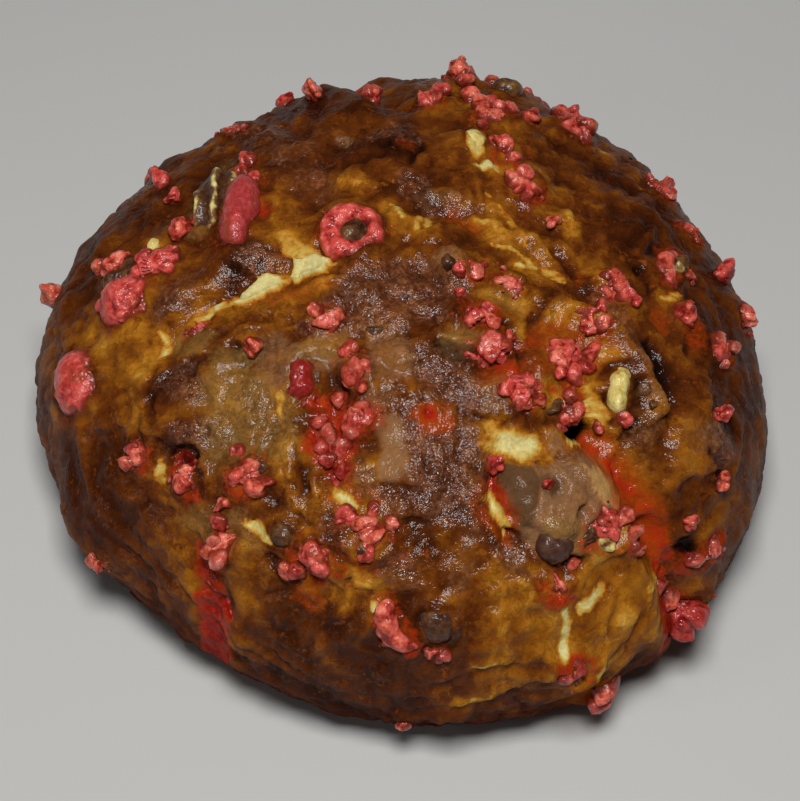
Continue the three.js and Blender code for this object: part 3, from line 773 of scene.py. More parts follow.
def covered(points, rows, back, softness, strands=0.0):
    """How far marks cover stirred points: for each mark its strength, fading across the edge of its half
    width; where marks lie over each other the strongest counts. Strands across a mark lift and lower it by
    a share."""
    cover = np.zeros(len(points))
    paths = [(wide, strength, stirred(dome_seen(pixels))) for wide, strength, pixels in rows]
    paths += [(wide, strength, stirred(dome_path(places))) for wide, strength, places in back]
    for wide, strength, path in paths:
        gap, left, along = path_gap(points, path)
        total = np.linalg.norm(np.diff(path, axis=0), axis=1).sum() + 1e-6
        taper = 1 - TAPER * np.clip(abs(2 * along / total - 1), 0, 1) ** 2 * (len(path) > 1)
        here = strength * fade(1 + softness / 2, 1 - softness / 2, 2 * gap / (wide * taper))
        if strands:
            streak = np.stack([along / STRAND_WIDE, left / STRAND_LONG, along * 0], axis=-1)
            here = here * (1 + strands * soft_noise(streak, size=1, seed=71))
        cover = np.maximum(cover, here)
    return cover


def within(points, pixels, edge):
    """How far stirred points lie inside an outline, seen flat at its middle: 0 outside, 1 inside, and a
    smooth S across its edge."""
    outline = stirred(dome_seen(pixels))
    middle = outline.mean(axis=0)
    outward = unit(middle - HEART)
    side = unit(np.cross([0.0, 0.0, 1.0], outward))
    axes = np.stack([side, np.cross(outward, side)], axis=-1)
    flat = (points - middle) @ axes
    corners = (outline - middle) @ axes
    gap = np.full(len(points), np.inf)
    inside = np.zeros(len(points), bool)
    for start, end in zip(corners, np.roll(corners, -1, axis=0)):
        line = end - start
        offset = flat - start
        share = np.clip(offset @ line / (line @ line), 0, 1)
        gap = np.minimum(gap, np.linalg.norm(offset - share[:, None] * line, axis=1))
        crosses = (start[1] > flat[:, 1]) != (end[1] > flat[:, 1])
        rise = np.where(line[1] == 0, 1e-9, line[1])
        inside ^= crosses & (flat[:, 0] < start[0] + offset[:, 1] * line[0] / rise)
    faces = (points - HEART) @ outward > 0
    return fade(-edge, edge, np.where(inside, gap, -gap)) * faces


def wrinkled(points):
    """Height of the wrinkles: long thin swells of noise with sharp creases, along each path."""
    height = np.zeros(len(points))
    paths = [(*row[:3], dome_seen(row[3])) for row in WRINKLES]
    paths += [(*row[:3], dome_path(row[3])) for row in BACK_WRINKLES]
    for number, (wide, high, apart, path) in enumerate(paths):
        gap, left, along = path_gap(points, path)
        shift = np.full(len(points), WRINKLE_SHIFT * number)
        flow = np.stack([along / (apart * WRINKLE_LONG), left / apart, shift], axis=-1)
        folds = billow(flow, size=1, seed=91)
        height += WRINKLE_HIGH * high * fade(*WRINKLE_ENDS, 2 * gap / wide) * folds
    return height


def node_corners(name):
    """The corners of a CAD node, in millimetres, each once."""
    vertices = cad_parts[name].data.vertices
    flat = np.empty(len(vertices) * 3)
    vertices.foreach_get("co", flat)
    return np.unique(np.round(flat.reshape(-1, 3) / MM, 3), axis=0)


praline_nodes = [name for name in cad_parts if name.startswith("praline")]
almond_nodes = [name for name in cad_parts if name.startswith("almond")]


def piece_share(points, name):
    """How far points lie from a piece's middle, as a share of the egg shape that its corners fill."""
    corners = node_corners(name)
    middle = corners.mean(axis=0)
    spread = np.cov((corners - middle).T) * EGG_SPREAD
    offset = points - middle
    return np.sqrt(np.einsum("ij,jk,ik->i", offset, np.linalg.inv(spread), offset))


def square_disc(cells):
    """A disc on a square grid, as shares of its radius and bearings: each square ring of the grid becomes a
    circle, so that cells stay even and the middle has no pole."""
    line = np.linspace(-1, 1, cells + 1)
    across, along = (axis.ravel() for axis in np.meshgrid(line, line))
    sideways = abs(across) >= abs(along)
    longer = np.where(sideways, across, along)
    shorter = np.where(sideways, along, across)
    turn = math.pi / 4 * shorter / np.where(longer == 0, 1, longer)
    bearing = np.where(sideways, turn, math.pi / 2 - turn) + math.pi * (longer < 0)
    return abs(longer), bearing


def grid_quads(rows, columns):
    """Four-cornered faces between the neighbours of a grid with that many points each way."""
    index = np.arange(rows * columns).reshape(rows, columns)
    return np.stack([index[:-1, :-1], index[:-1, 1:], index[1:, 1:], index[1:, :-1]], axis=-1).reshape(-1, 4)


def make_mesh(name, points, faces, attributes, material):
    """A smooth-shaded object from points in millimetres, arrays of faces with equal corner counts, and
    values for each point."""
    mesh = bpy.data.meshes.new(name)
    corners = np.concatenate([rows.ravel() for rows in faces])
    counts = np.concatenate([np.full(len(rows), rows.shape[1]) for rows in faces])
    mesh.vertices.add(len(points))
    mesh.vertices.foreach_set("co", (points * MM).astype(np.float32).ravel())
    mesh.loops.add(len(corners))
    mesh.loops.foreach_set("vertex_index", corners.astype(np.int32))
    mesh.polygons.add(len(counts))
    mesh.polygons.foreach_set("loop_start", (np.cumsum(counts) - counts).astype(np.int32))
    mesh.update(calc_edges=True)
    mesh.polygons.foreach_set("use_smooth", np.ones(len(counts), bool))
    for key, values in attributes.items():
        mesh.attributes.new(key, "FLOAT", "POINT").data.foreach_set("value", values.astype(np.float32))
    mesh.materials.append(material)
    made = bpy.data.objects.new(name, mesh)
    scene.collection.objects.link(made)
    return made


def skin_lift(share, bearing):
    """Lift at a share of the way from the crown to the foot, even in length along the middle profile."""
    lifts = np.linspace(math.pi / 2, -math.atan(BELLY / FOOT), PROFILE_STEPS)
    profile = dome_points(np.zeros_like(lifts), lifts)
    length = np.concatenate([[0], np.cumsum(np.linalg.norm(np.diff(profile, axis=0), axis=1))])
    lift = np.interp(share * length[-1], length, lifts)
    foot = -np.arctan(BELLY / (plan_radius(bearing) * FOOT / GIRTH))
    return math.pi / 2 - (math.pi / 2 - lift) * (math.pi / 2 - foot) / (math.pi / 2 - lifts[-1])


def skin_marks(points):
    """All that marks the skin at points of the dome: each kind's cover, with uneven edges, and how far the
    skin is collared, ringed with painted shade at the pieces' feet, creased, raised in slabs, hollow or
    crumpled."""
    uneven = stirred(points)
    marks = {}
    for kind, rows in MARK_KINDS.items():
        marks[kind] = covered(uneven, *rows, strands=STRAND_SHARE if kind == "torn" else 0.0)
    for kind in ("collar", "skirt", "gap", "creased", "slab", "hollow"):
        marks[kind] = np.zeros(len(points))

    def lay(kind, cover):
        """One more cover of a kind: the stronger counts."""
        marks[kind] = np.maximum(marks[kind], cover)

    halos = [(wide * TEAR_HALO, strength, pixels) for wide, strength, pixels in TORN]
    lay("golden", covered(uneven, halos, [], MARK_KINDS["golden"][2]))
    wet = 0.5 + 0.5 * soft_noise(points, size=7, seed=81)
    wavering = drift(points, size=4, reach=0.8, seed=17)
    for number, name in enumerate(praline_nodes + almond_nodes):
        share = piece_share(wavering, name)
        lay("collar", bell(share - COLLAR_AT, COLLAR_WIDE))
        lay("skirt", bell(np.maximum(share - SKIRT_FROM, 0), SKIRT_WIDE))
        # painted shade round the piece's foot
        lay("gap", bell(share - FOOT_SHADE_AT, FOOT_SHADE_WIDE))
        if name.startswith("praline"):
            stain = fade(*STAIN_ENDS, share) * wet
            lay("syrup", draw_between(STAIN_SYRUP, number, 5) * stain)
            lay("amber", draw_between(STAIN_AMBER, number, 6) * stain)
    for wide, deep, pixels in CREASES:
        lay("creased", deep * bell(path_gap(uneven, stirred(dome_seen(pixels)))[0], wide))
    for high, edge, skin, strength, pixels in SLABS:
        slab = within(uneven, pixels, edge)
        brink = within(uneven, pixels, edge + SLAB_BRINK) * (1 - slab)
        marks["slab"] += high * (slab - brink)
        lay(skin, strength * slab)
    for across, deep, pixel in PITS:
        lay("hollow", deep * np.exp(-((2 * path_gap(points, dome_seen([pixel]))[0] / across) ** 4)))
    sugared = np.clip(marks["amber"] - 1, 0, 1)
    marks["blistered"] *= 1 - sugared
    crown = bell(np.linalg.norm(points - CROWN_FRONT, axis=1), CROWN_ACROSS)
    calm = np.minimum(np.maximum(marks["taupe"], sugared), 1)
    crumpled = np.maximum(CRUMPLE_LEAST + CRUMPLE_CROWN * crown, marks["blistered"])
    crumpled = crumpled * (1 - CRUMPLE_CALM * calm) + CRUMPLE_UNEVEN * soft_noise(points, size=14, seed=99)
    marks["crumpled"] = np.clip(crumpled, 0, 1)
    return marks


def billow(points, size, seed):
    """Noise in round swells that meet in sharp creases, from -1 in the creases to about 1."""
    return np.minimum(abs(soft_noise(points, size, seed)) * BILLOW_STEEP, BILLOW_TOP) - 1


def skin_relief(points, marks):
    """Height of the finished skin over the dome: the solid's relief, overlapping lips, slabs, pits, creases,
    uneven collars round the pieces, wrinkles, strands across tears, and billows of noise from 11 mm down to
    2 mm."""
    height = solid_relief(points)
    stir = {"size": 7, "reach": 1.2, "seed": 21}
    uneven = drift(points, **stir)
    for high, pixels in LIPS:
        gap, left, _ = path_gap(uneven, drift(dome_seen(pixels), **stir))
        near = np.exp(-np.maximum(gap - abs(left), 0) / LIP_END)
        over = np.where(left > 0, np.exp(-left / LIP_BACK), -LIP_UNDER * np.exp(left / LIP_UNDER_BACK))
        height += high * near * over * fade(0, LIP_FRONT, gap)
    height += marks["slab"] - marks["hollow"] - marks["creased"]
    collar = marks["collar"] * (COLLAR_HIGH + COLLAR_UNEVEN * soft_noise(points, size=4, seed=85))
    height += (collar + SKIRT_HIGH * marks["skirt"]) * (marks["hollow"] < PIT_CLEAR)
    folds = wrinkled(drift(points, size=8, reach=2, seed=93))
    height += folds * (1 - SLAB_CALM * np.clip(marks["slab"], 0, 1))
    rough = ROUGH_LEAST + ROUGH_CRUMPLED * marks["crumpled"]
    warped = drift(points, size=16, reach=5, seed=31)
    height += rough * BILLOW_HIGH * billow(warped, size=11, seed=41)
    height += rough * BILLOW_HIGH * billow(drift(warped, size=5, reach=1.5, seed=34), size=5.5, seed=42)
    small = billow(drift(points, size=3, reach=1, seed=37), size=2.8, seed=43)
    height += rough * (SMALL_BILLOW_HIGH + BLISTER_HIGH * marks["blistered"]) * small
    heaps = billow(drift(points, size=4, reach=1.5, seed=95), size=4.5, seed=97)
    height += SYRUP_HIGH * marks["syrup"] * heaps * fade(*SYRUP_HEAPS, points[:, 2])
    height += GRAIN_HIGH * rough * soft_noise(points, size=1.7, seed=44)
    strands = soft_noise(points * TORN_FORM, size=3.2, seed=51)
    height += marks["torn"] * (TORN_HIGH + TORN_STRANDS * strands)
    return height * fade(0, SKIN_FADE, points[:, 2])


def on_skin(bearing, lift):
    """Points of the finished skin along bearings and lifts in radians."""
    dome = dome_points(bearing, lift)
    return dome + toward(bearing, lift) * skin_relief(dome, skin_marks(dome))[:, None]


def linear(red, green, blue):
    """A screen colour, each part from 0 to 255, as the light that it stands for."""
    share = np.array([red, green, blue]) / 255
    return (*np.where(share <= 0.04045, share / 12.92, ((share + 0.055) / 1.055) ** 2.4), 1)


def plug(tree, node, sockets):
    """A node's inputs, each set to a value or linked to another node's output."""
    for key, value in sockets.items():
        if isinstance(value, bpy.types.NodeSocket):
            tree.links.new(value, node.inputs[key])
        else:
            node.inputs[key].default_value = value


def add_node(tree, kind, sockets=(), **settings):
    """One shader node: settings are its own properties, sockets its inputs."""
    made = tree.nodes.new(f"ShaderNode{kind}")
    for name, value in settings.items():
        setattr(made, name, value)
    plug(tree, made, dict(sockets))
    return made


def reckon(tree, operation, first, second=0.0, third=0.0):
    """A sum, product or the like of two or three values."""
    return add_node(tree, "Math", {0: first, 1: second, 2: third}, operation=operation).outputs[0]


def weighed(tree, start, *parts):
    """A start value with parts added to it, each part a value and its weight."""
    total = start
    for value, weight in parts:
        total = reckon(tree, "MULTIPLY_ADD", value, weight, total)
    return total


def product(tree, first, *others):
    """Several values multiplied together."""
    for value in others:
        first = reckon(tree, "MULTIPLY", first, value)
    return first


def ease(tree, value, low, high):
    """0 at low, 1 at high, and a smooth S between them."""
    sockets = {"Value": value, "From Min": low, "From Max": high}
    return add_node(tree, "MapRange", sockets, interpolation_type="SMOOTHSTEP").outputs["Result"]


def blend(tree, share, base, over, most=1.0, kind="MIX"):
    """One colour laid over another, or multiplied into it, by a share of the most that it covers."""
    if most < 1:
        share = product(tree, share, most)
    return add_node(tree, "Mix", {0: share, 6: base, 7: over}, data_type="RGBA", blend_type=kind).outputs[2]


def steps_of_colour(tree, value, stops):
    """Colours along a value: stops are (place, screen colour)."""
    ramp = add_node(tree, "ValToRGB", {"Fac": value})
    marks = ramp.color_ramp.elements
    while len(marks) < len(stops):
        marks.new(1)
    for mark, (place, colour) in zip(marks, stops):
        mark.position = place
        mark.color = linear(*colour)
    return ramp.outputs["Color"]


def read(tree, name):
    """The value that the mesh holds under a name."""
    return add_node(tree, "Attribute", attribute_name=name).outputs["Fac"]


def mottle_group():
    """The uneven tone that crust, sugar and almonds share, as a group of nodes: noise on the object's own
    coordinates, where a scale of 1000 has features of a millimetre. It comes out as clouds about 0.5 and,
    spread out to run from -1 to 1, as mottle."""
    group = bpy.data.node_groups.new("mottle", "ShaderNodeTree")
    for name in ("Scale", "Detail", "Distortion"):
        group.interface.new_socket(name, in_out="INPUT", socket_type="NodeSocketFloat")
    for name in ("Clouds", "Mottle"):
        group.interface.new_socket(name, in_out="OUTPUT", socket_type="NodeSocketFloat")
    given = group.nodes.new("NodeGroupInput").outputs
    sockets = {name: given[name] for name in ("Scale", "Detail", "Distortion")}
    sockets["Vector"] = add_node(group, "TexCoord").outputs["Object"]
    raw = add_node(group, "TexNoise", sockets).outputs["Fac"]
    ends = {"Value": raw, "From Min": 0.28, "From Max": 0.72, "To Min": -1.0, "To Max": 1.0}
    made = group.nodes.new("NodeGroupOutput").inputs
    group.links.new(raw, made["Clouds"])
    group.links.new(add_node(group, "MapRange", ends).outputs["Result"], made["Mottle"])
    return group


mottling = mottle_group()


def clouds(tree, scale, detail=3.0, distortion=0.0):
    """The shared group's clouds, about 0.5."""
    sockets = {"Scale": scale, "Detail": detail, "Distortion": distortion}
    return add_node(tree, "Group", sockets, node_tree=mottling).outputs["Clouds"]


def mottle(tree, scale, detail=3.0, distortion=0.0):
    """The shared group's mottle, from -1 to 1."""
    sockets = {"Scale": scale, "Detail": detail, "Distortion": distortion}
    return add_node(tree, "Group", sockets, node_tree=mottling).outputs["Mottle"]


def crumple(tree, scale, detail):
    """Round swells between sharp creases: 0 in a crease, rising to about 0.3."""
    raw = clouds(tree, scale, detail, distortion=0.8)
    return reckon(tree, "ABSOLUTE", reckon(tree, "SUBTRACT", raw, 0.5))


FLAKE_FORM = (1.0, 1.0, 0.5)  # flakes are twice as tall as they are wide


def flakes(tree, scale, bend):
    """Flakes of even tone from -1 to 1 with crisp edges: cells about spots, bent out of shape by noise that
    carries them up to about the bend."""
    place = add_node(tree, "TexCoord").outputs["Object"]
    stir = add_node(tree, "TexNoise", {"Vector": place, "Scale": scale, "Detail": 2.0}).outputs["Color"]
    stir = add_node(tree, "VectorMath", {0: stir, 1: (0.5, 0.5, 0.5)}, operation="SUBTRACT").outputs[0]
    stir = add_node(tree, "VectorMath", {0: stir, "Scale": bend * 4}, operation="SCALE").outputs[0]
    place = add_node(tree, "VectorMath", {0: place, 1: stir}, operation="ADD").outputs[0]
    place = add_node(tree, "VectorMath", {0: place, 1: FLAKE_FORM}, operation="MULTIPLY").outputs[0]
    cells = add_node(tree, "TexVoronoi", {"Vector": place, "Scale": scale}).outputs["Color"]
    tone = add_node(tree, "SeparateColor", {0: cells}).outputs[0]
    return weighed(tree, -1.0, (tone, 2.0))


def new_material(name):
    """An empty material, with its tree and its Principled shader."""
    material = bpy.data.materials.new(name)
    material.use_nodes = True
    return material, material.node_tree, material.node_tree.nodes["Principled BSDF"]


BUMP_HIGH = 0.0006  # metres


def roughen(tree, shader, height):
    """Fine unevenness, from a height between 0 and 1, on a shader's surface and on its coat."""
    bump = add_node(tree, "Bump", {"Height": height, "Strength": 1.0, "Distance": BUMP_HIGH})
    plug(tree, shader, dict.fromkeys(("Normal", "Coat Normal"), bump.outputs["Normal"]))


CRUST_STEPS = [
    (0.0, (222, 170, 72)),
    (0.18, (184, 120, 32)),
    (0.34, (148, 86, 20)),
    (0.5, (108, 53, 14)),
    (0.66, (74, 32, 9)),
    (0.82, (46, 19, 7)),
    (1.0, (22, 10, 6)),
]
SYRUP_STEPS = [
    (0.0, (140, 60, 16)),
    (0.25, (176, 54, 14)),
    (0.5, (178, 36, 22)),
    (0.75, (140, 12, 9)),
    (0.95, (176, 34, 24)),
    (1.0, (222, 96, 80)),
]
CRUMB_STEPS = [
    (0.1, (136, 72, 17)),
    (0.35, (176, 108, 30)),
    (0.6, (196, 150, 62)),
    (0.85, (208, 184, 106)),
    (1.0, (218, 204, 138)),
]
AMBER_SKIN = linear(164, 63, 13)
TAUPE_SKIN = linear(148, 106, 70)
TAN_SKIN = linear(192, 146, 86)
SLATE_SKIN = linear(84, 60, 40)
OLIVE_SKIN = linear(150, 111, 54)
VALLEY_PAINTED_SHADE = linear(34, 14, 8)
LOW_PAINTED_SHADE = (0.7, 0.5, 0.28, 1)  # painted shade: keeps the low sides warm and dark against the light that the pale table throws up
BLISTER_STEPS = [(0.2, (52, 26, 18)), (0.5, (112, 64, 42)), (0.8, (156, 104, 74))]
SHOWS = {  # cover at which a kind of skin begins to show, and at which it shows in full
    "blistered": (0.1, 0.9),
    "taupe": (0.2, 0.9),
    "slate": (0.2, 0.8),
    "olive": (0.1, 0.9),
    "torn": (0.1, 0.5),
    "syrup": (0.1, 0.7),
    "amber": (0.1, 0.8),
}
TAN_SHOWS = (1.0, 1.4)  # more taupe than a full cover turns tan
SOLID_SHOWS = (1.0, 1.8)  # more amber than a full cover hides the skin
PIT_SHADE_SHOWS = (2.5, 0.3)  # painted shade in the pits: depth at which a pit is black, and at which it is no darker than the skin
VALLEY_SHADE_SHOWS = (0.16, 0.0)  # painted shade in the folds: height in a fold at which it begins to darken, and at which it is darkest


def crust_material():
    """Baked skin: brown by how far it baked, paler where it stands proud and darker where sunk as painted
    light and shade, with painted shade in its folds, creases and pits, round the pieces' feet and on the low
    sides, mottled at 5 mm and 1.2 mm, with dull patches over nuts, fine blisters, pale torn crumb and red
    syrup over it. A coat of egg wash lies on top, and its own fine unevenness breaks the light into glints."""
    material, tree, skin = new_material("crust")
    patches = mottle(tree, scale=200, detail=3, distortion=0.6)
    grain = mottle(tree, scale=800, detail=3)
    folds = weighed(tree, crumple(tree, scale=230, detail=3), (crumple(tree, scale=480, detail=2), 0.4))
    broad_flakes = flakes(tree, scale=230, bend=0.003)
    fine_flakes = flakes(tree, scale=560, bend=0.0015)
    bake_and_shade_tone = weighed(tree, read(tree, "bake_and_shade"), (patches, 0.06), (grain, 0.025))
    bake_and_shade_tone = weighed(tree, bake_and_shade_tone, (broad_flakes, 0.06), (fine_flakes, 0.03))
    colour = steps_of_colour(tree, bake_and_shade_tone, CRUST_STEPS)
    ragged = weighed(tree, 0.0, (patches, 0.18), (grain, 0.14))
    ragged_cover = {kind: reckon(tree, "ADD", read(tree, kind), ragged) for kind in SHOWS}
    shown = {kind: ease(tree, ragged_cover[kind], *ends) for kind, ends in SHOWS.items()}

    blister_tone = weighed(tree, 0.5, (patches, 0.25), (grain, 0.25))
    blister_skin = steps_of_colour(tree, blister_tone, BLISTER_STEPS)
    colour = blend(tree, shown["blistered"], colour, blister_skin, most=0.6)
    colour = blend(tree, shown["taupe"], colour, TAUPE_SKIN, most=0.82)
    colour = blend(tree, ease(tree, ragged_cover["taupe"], *TAN_SHOWS), colour, TAN_SKIN, most=0.8)
    colour = blend(tree, shown["olive"], colour, OLIVE_SKIN, most=0.65)
    colour = blend(tree, shown["slate"], colour, SLATE_SKIN, most=0.8)
    solid = ease(tree, read(tree, "amber"), *SOLID_SHOWS)
    colour = blend(tree, weighed(tree, 0.0, (shown["amber"], 0.6), (solid, 0.35)), colour, AMBER_SKIN)
    thick = weighed(tree, 0.0, (read(tree, "syrup"), 0.58), (ragged, 1.3))
    colour = blend(tree, shown["syrup"], colour, steps_of_colour(tree, thick, SYRUP_STEPS), most=0.85)
    open_crumb = weighed(tree, read(tree, "torn"), (ragged, 0.6))
    colour = blend(tree, shown["torn"], colour, steps_of_colour(tree, open_crumb, CRUMB_STEPS))

    specks_and_pit_shade = weighed(tree, 0.94, (grain, 0.1), (mottle(tree, scale=1300, detail=2), 0.07))
    # painted shade: the pits darkened towards black
    specks_and_pit_shade = product(tree, specks_and_pit_shade, ease(tree, read(tree, "hollow"), *PIT_SHADE_SHOWS))
    shade = add_node(tree, "VectorMath", {0: colour, "Scale": specks_and_pit_shade}, operation="SCALE").outputs[0]
    closed = weighed(tree, 1.0, (shown["torn"], -1.0))
    # painted shade: crumpled skin darkened down in its folds, where shade falls
    valley_shade = product(tree, read(tree, "crumpled"), ease(tree, folds, *VALLEY_SHADE_SHOWS), closed)
    shade = blend(tree, valley_shade, shade, VALLEY_PAINTED_SHADE, most=0.5)
    # painted shade on the low sides, less of it under syrup
    low_painted_shade = product(tree, read(tree, "low"), weighed(tree, 1.0, (shown["syrup"], -0.7)))
    shade = blend(tree, low_painted_shade, shade, LOW_PAINTED_SHADE, kind="MULTIPLY")

    coat = weighed(tree, 0.32, (shown["syrup"], 0.15), (shown["blistered"], 0.5), (shown["taupe"], -0.15))
    coat = product(tree, coat, closed, weighed(tree, 1.0, (read(tree, "low"), -0.95)))
    plug(tree, skin, {
        "Base Color": shade,
        "Roughness": weighed(tree, 0.55, (shown["torn"], 0.2)),
        "Specular IOR Level": 0.0,
        "Coat Weight": coat,
        "Coat Roughness": 0.13,
        "Coat IOR": 1.45,
    })

    blister_height = weighed(tree, 0.35, (shown["blistered"], 0.65))
    blisters = product(tree, clouds(tree, scale=1450, detail=1), blister_height)
    ripples = clouds(tree, scale=330, detail=2)
    crumpled_folds = product(tree, folds, read(tree, "crumpled"))
    height = weighed(tree, 0.0, (blisters, 0.65), (ripples, 0.4), (crumpled_folds, 0.9))
    roughen(tree, skin, product(tree, height, weighed(tree, 1.0, (read(tree, "low"), -0.5))))
    return material


share, bearing = square_disc(SKIN_CELLS)
lift = skin_lift(share, bearing)
dome = dome_points(bearing, lift)
marks = skin_marks(dome)
height = skin_relief(dome, marks)
skin_points = dome + toward(bearing, lift) * height[:, None]
skin_points[:, 2] = np.maximum(skin_points[:, 2], 0)

RELIEF_SHADE_FULL = 1.5  # height over the solid's relief at which skin counts as wholly proud; proud skin is painted paler and sunk skin darker, as light and shade
LOW_ENDS = (40, 8)  # heights between which the sides turn into the low sides
BEHIND_ENDS = (-10, 60)  # along Y, between which the front turns into the back
PIT_SHADE_FULL = 1.5
BAKED = 0.53  # how dark plain skin is, from pale at 0 to black at 1
BAKE_AND_SHADE_WEIGHTS = {  # darker above 0, paler below
    "broad": 0.03,
    # painted light and shade: skin proud of the solid's relief paler, sunk skin darker
    "middling": 0.12,
    "proud": -0.16,
    # darker towards the bottom and towards the back
    "low": 0.06,
    "behind": 0.05,
    "golden": -0.26,
    "dark": 0.17,
    # painted shade: a dark ring round each piece's foot, darker skin in the creases and in the pits
    "gap": 0.22,
    "creased": 0.13,
    "hollow": 0.2,
}
low = fade(*LOW_ENDS, dome[:, 2])
causes = {
    **marks,
    "broad": soft_noise(drift(dome, size=30, reach=8, seed=61), size=22, seed=64),
    "middling": soft_noise(drift(dome, size=12, reach=4, seed=65), size=9, seed=68),
    "proud": np.clip((height - solid_relief(dome)) / RELIEF_SHADE_FULL, -1, 1),
    "low": low,
    "behind": fade(*BEHIND_ENDS, dome[:, 1]),
    "hollow": np.minimum(marks["hollow"], PIT_SHADE_FULL),
}
bake_and_shade = BAKED + sum(weight * causes[cause] for cause, weight in BAKE_AND_SHADE_WEIGHTS.items())

grid = SKIN_CELLS + 1
index = np.arange(grid * grid).reshape(grid, grid)
rim = np.concatenate([index[0, :-1], index[:-1, -1], index[-1, :0:-1], index[:0:-1, 0]])
rings = [skin_points[rim] * [size, size, 0] for size in UNDERSIDE_RINGS]
under = np.concatenate(rings + [np.zeros((1, 3))])
under_loops = len(skin_points) + np.arange(len(rim) * len(rings)).reshape(len(rings), -1)
loops = np.concatenate([rim[None], under_loops])
after = np.roll(loops, -1, axis=1)
wall = np.stack([loops[1:], after[1:], after[:-1], loops[:-1]], axis=-1).reshape(-1, 4)
centre = np.full(len(rim), len(skin_points) + len(under) - 1)
fan = np.stack([loops[-1], centre, after[-1]], axis=-1)

UNDERSIDE = {"bake_and_shade": 0.6}  # the other values are 0 there
attributes = {**{kind: marks[kind] for kind in (*SHOWS, "crumpled", "hollow")}, "bake_and_shade": bake_and_shade, "low": low}
for key, values in attributes.items():
    attributes[key] = np.concatenate([values, np.full(len(under), UNDERSIDE.get(key, 0.0))])
loaf = make_mesh("loaf_crust", np.concatenate([skin_points, under]), [grid_quads(grid, grid), wall, fan],
                 attributes, crust_material())
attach(loaf, "root")
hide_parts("loaf")

# The pralines. Almonds and bits of almond cooked in pink sugar, which sets in knobbly lumps.
# They are kneaded into the dough and pushed into its top, so each sits part sunk in the crust.
LUMP_RINGS = 32
LUMP_COLUMNS = 52
CHUNK_APART = 1.6  # millimetres of a lump's length for each of its chunks
CHUNK_COUNT = (4, 9)
CHUNK_OUT = (0.4, 0.75)  # of its middle, against the lump's reach
CHUNK_HALF = (0.3, 0.54)  # of its half width, against the lump's reach
CHUNK_STRAY = 0.5  # radians by which a chunk leaves its even place
CORE = 0.76  # of the lump's reach, under the chunks
BREAKS = 10  # flat breaks round a chunk
BREAK_DEPTH = (0.5, 0.95)  # of a break's distance from the chunk's middle, against its half width
BREAK_SHARP = 3.5  # for each millimetre; the higher, the sharper the edges between breaks
CHUNK_MOST = 1.1  # of a chunk's reach from its middle, against its half width
SLOPE_LEAST = 0.03  # between a direction and a break that it still meets
CREASE_WIDE = 0.5
CHUNK_DRAWS = 20  # kept apart for each lump
CHUNK_SEEDS = 10
LUMP_CLOSE = 14  # how closely a lump follows its solid
LUMP_TURN = 6  # radians over which the first chunk's place is drawn
LUMP_GRAIN = 0.22
LUMP_DENT = 0.3
LUMP_SEED = 100
KNOB_DRIFT = 0.15  # against a knob's width
KNOB_REACH = 0.8


def ball(rings, columns):
    """A ball's unit directions on a grid of rings and columns, closed by a point at each pole, and its
    four-cornered and three-cornered faces."""
    tilt = np.linspace(0, math.pi, rings + 2)[1:-1]
    turn = np.arange(columns) * 2 * math.pi / columns
    tilt, turn = np.meshgrid(tilt, turn, indexing="ij")
    sides = np.stack([np.sin(tilt) * np.cos(turn), np.sin(tilt) * np.sin(turn), np.cos(tilt)], axis=-1)
    directions = np.concatenate([sides.reshape(-1, 3), [[0, 0, 1], [0, 0, -1]]])
    index = np.arange(rings * columns).reshape(rings, columns)
    after = np.roll(index, -1, axis=1)
    quads = np.stack([index[:-1], index[1:], after[1:], after[:-1]], axis=-1).reshape(-1, 4)
    top = np.full(columns, rings * columns)
    caps = [np.stack([top, index[0], after[0]], axis=-1), np.stack([top + 1, after[-1], index[-1]], axis=-1)]
    return directions, quads, np.concatenate(caps)


def solid_reach(name, directions, closeness=LUMP_CLOSE):
    """A CAD node's middle and its reach in directions from there: the reach of its corners, each counting by
    how near its own direction lies, more narrowly the greater the closeness."""
    corners = node_corners(name)
    middle = (corners.min(axis=0) + corners.max(axis=0)) / 2
    spokes = np.linalg.norm(corners - middle, axis=1)
    nearness = np.exp(closeness * (directions @ unit(corners - middle).T - 1))
    return middle, nearness @ spokes / nearness.sum(axis=1)


def knobs(points, across, seed):
    """Round knobs of a width, crowded together: 1 on top of each, falling to 0 in the creases."""
    gap = cell_gap(drift(points, across, across * KNOB_DRIFT, seed), across, seed + 3)
    return np.clip(1 - (gap / KNOB_REACH) ** 2, 0, 1)


def joined(parts):
    """Several closed meshes as one: points, faces with their corners counted on, and values."""
    starts = np.cumsum([0] + [len(points) for points, _, _ in parts])
    points = np.concatenate([points for points, _, _ in parts])
    faces = [rows + start for (_, groups, _), start in zip(parts, starts) for rows in groups]
    values = {key: np.concatenate([given[key] for _, _, given in parts]) for key in parts[0][2]}
    return points, faces, values


def sugar_values(knob, tint, syrupy=0.0):
    """What sugar's points hold: how far up a knob each lies, the tint and how far syrup reddens it."""
    return {"knob": knob, "tint": np.full(len(knob), tint), "syrupy": np.full(len(knob), syrupy)}


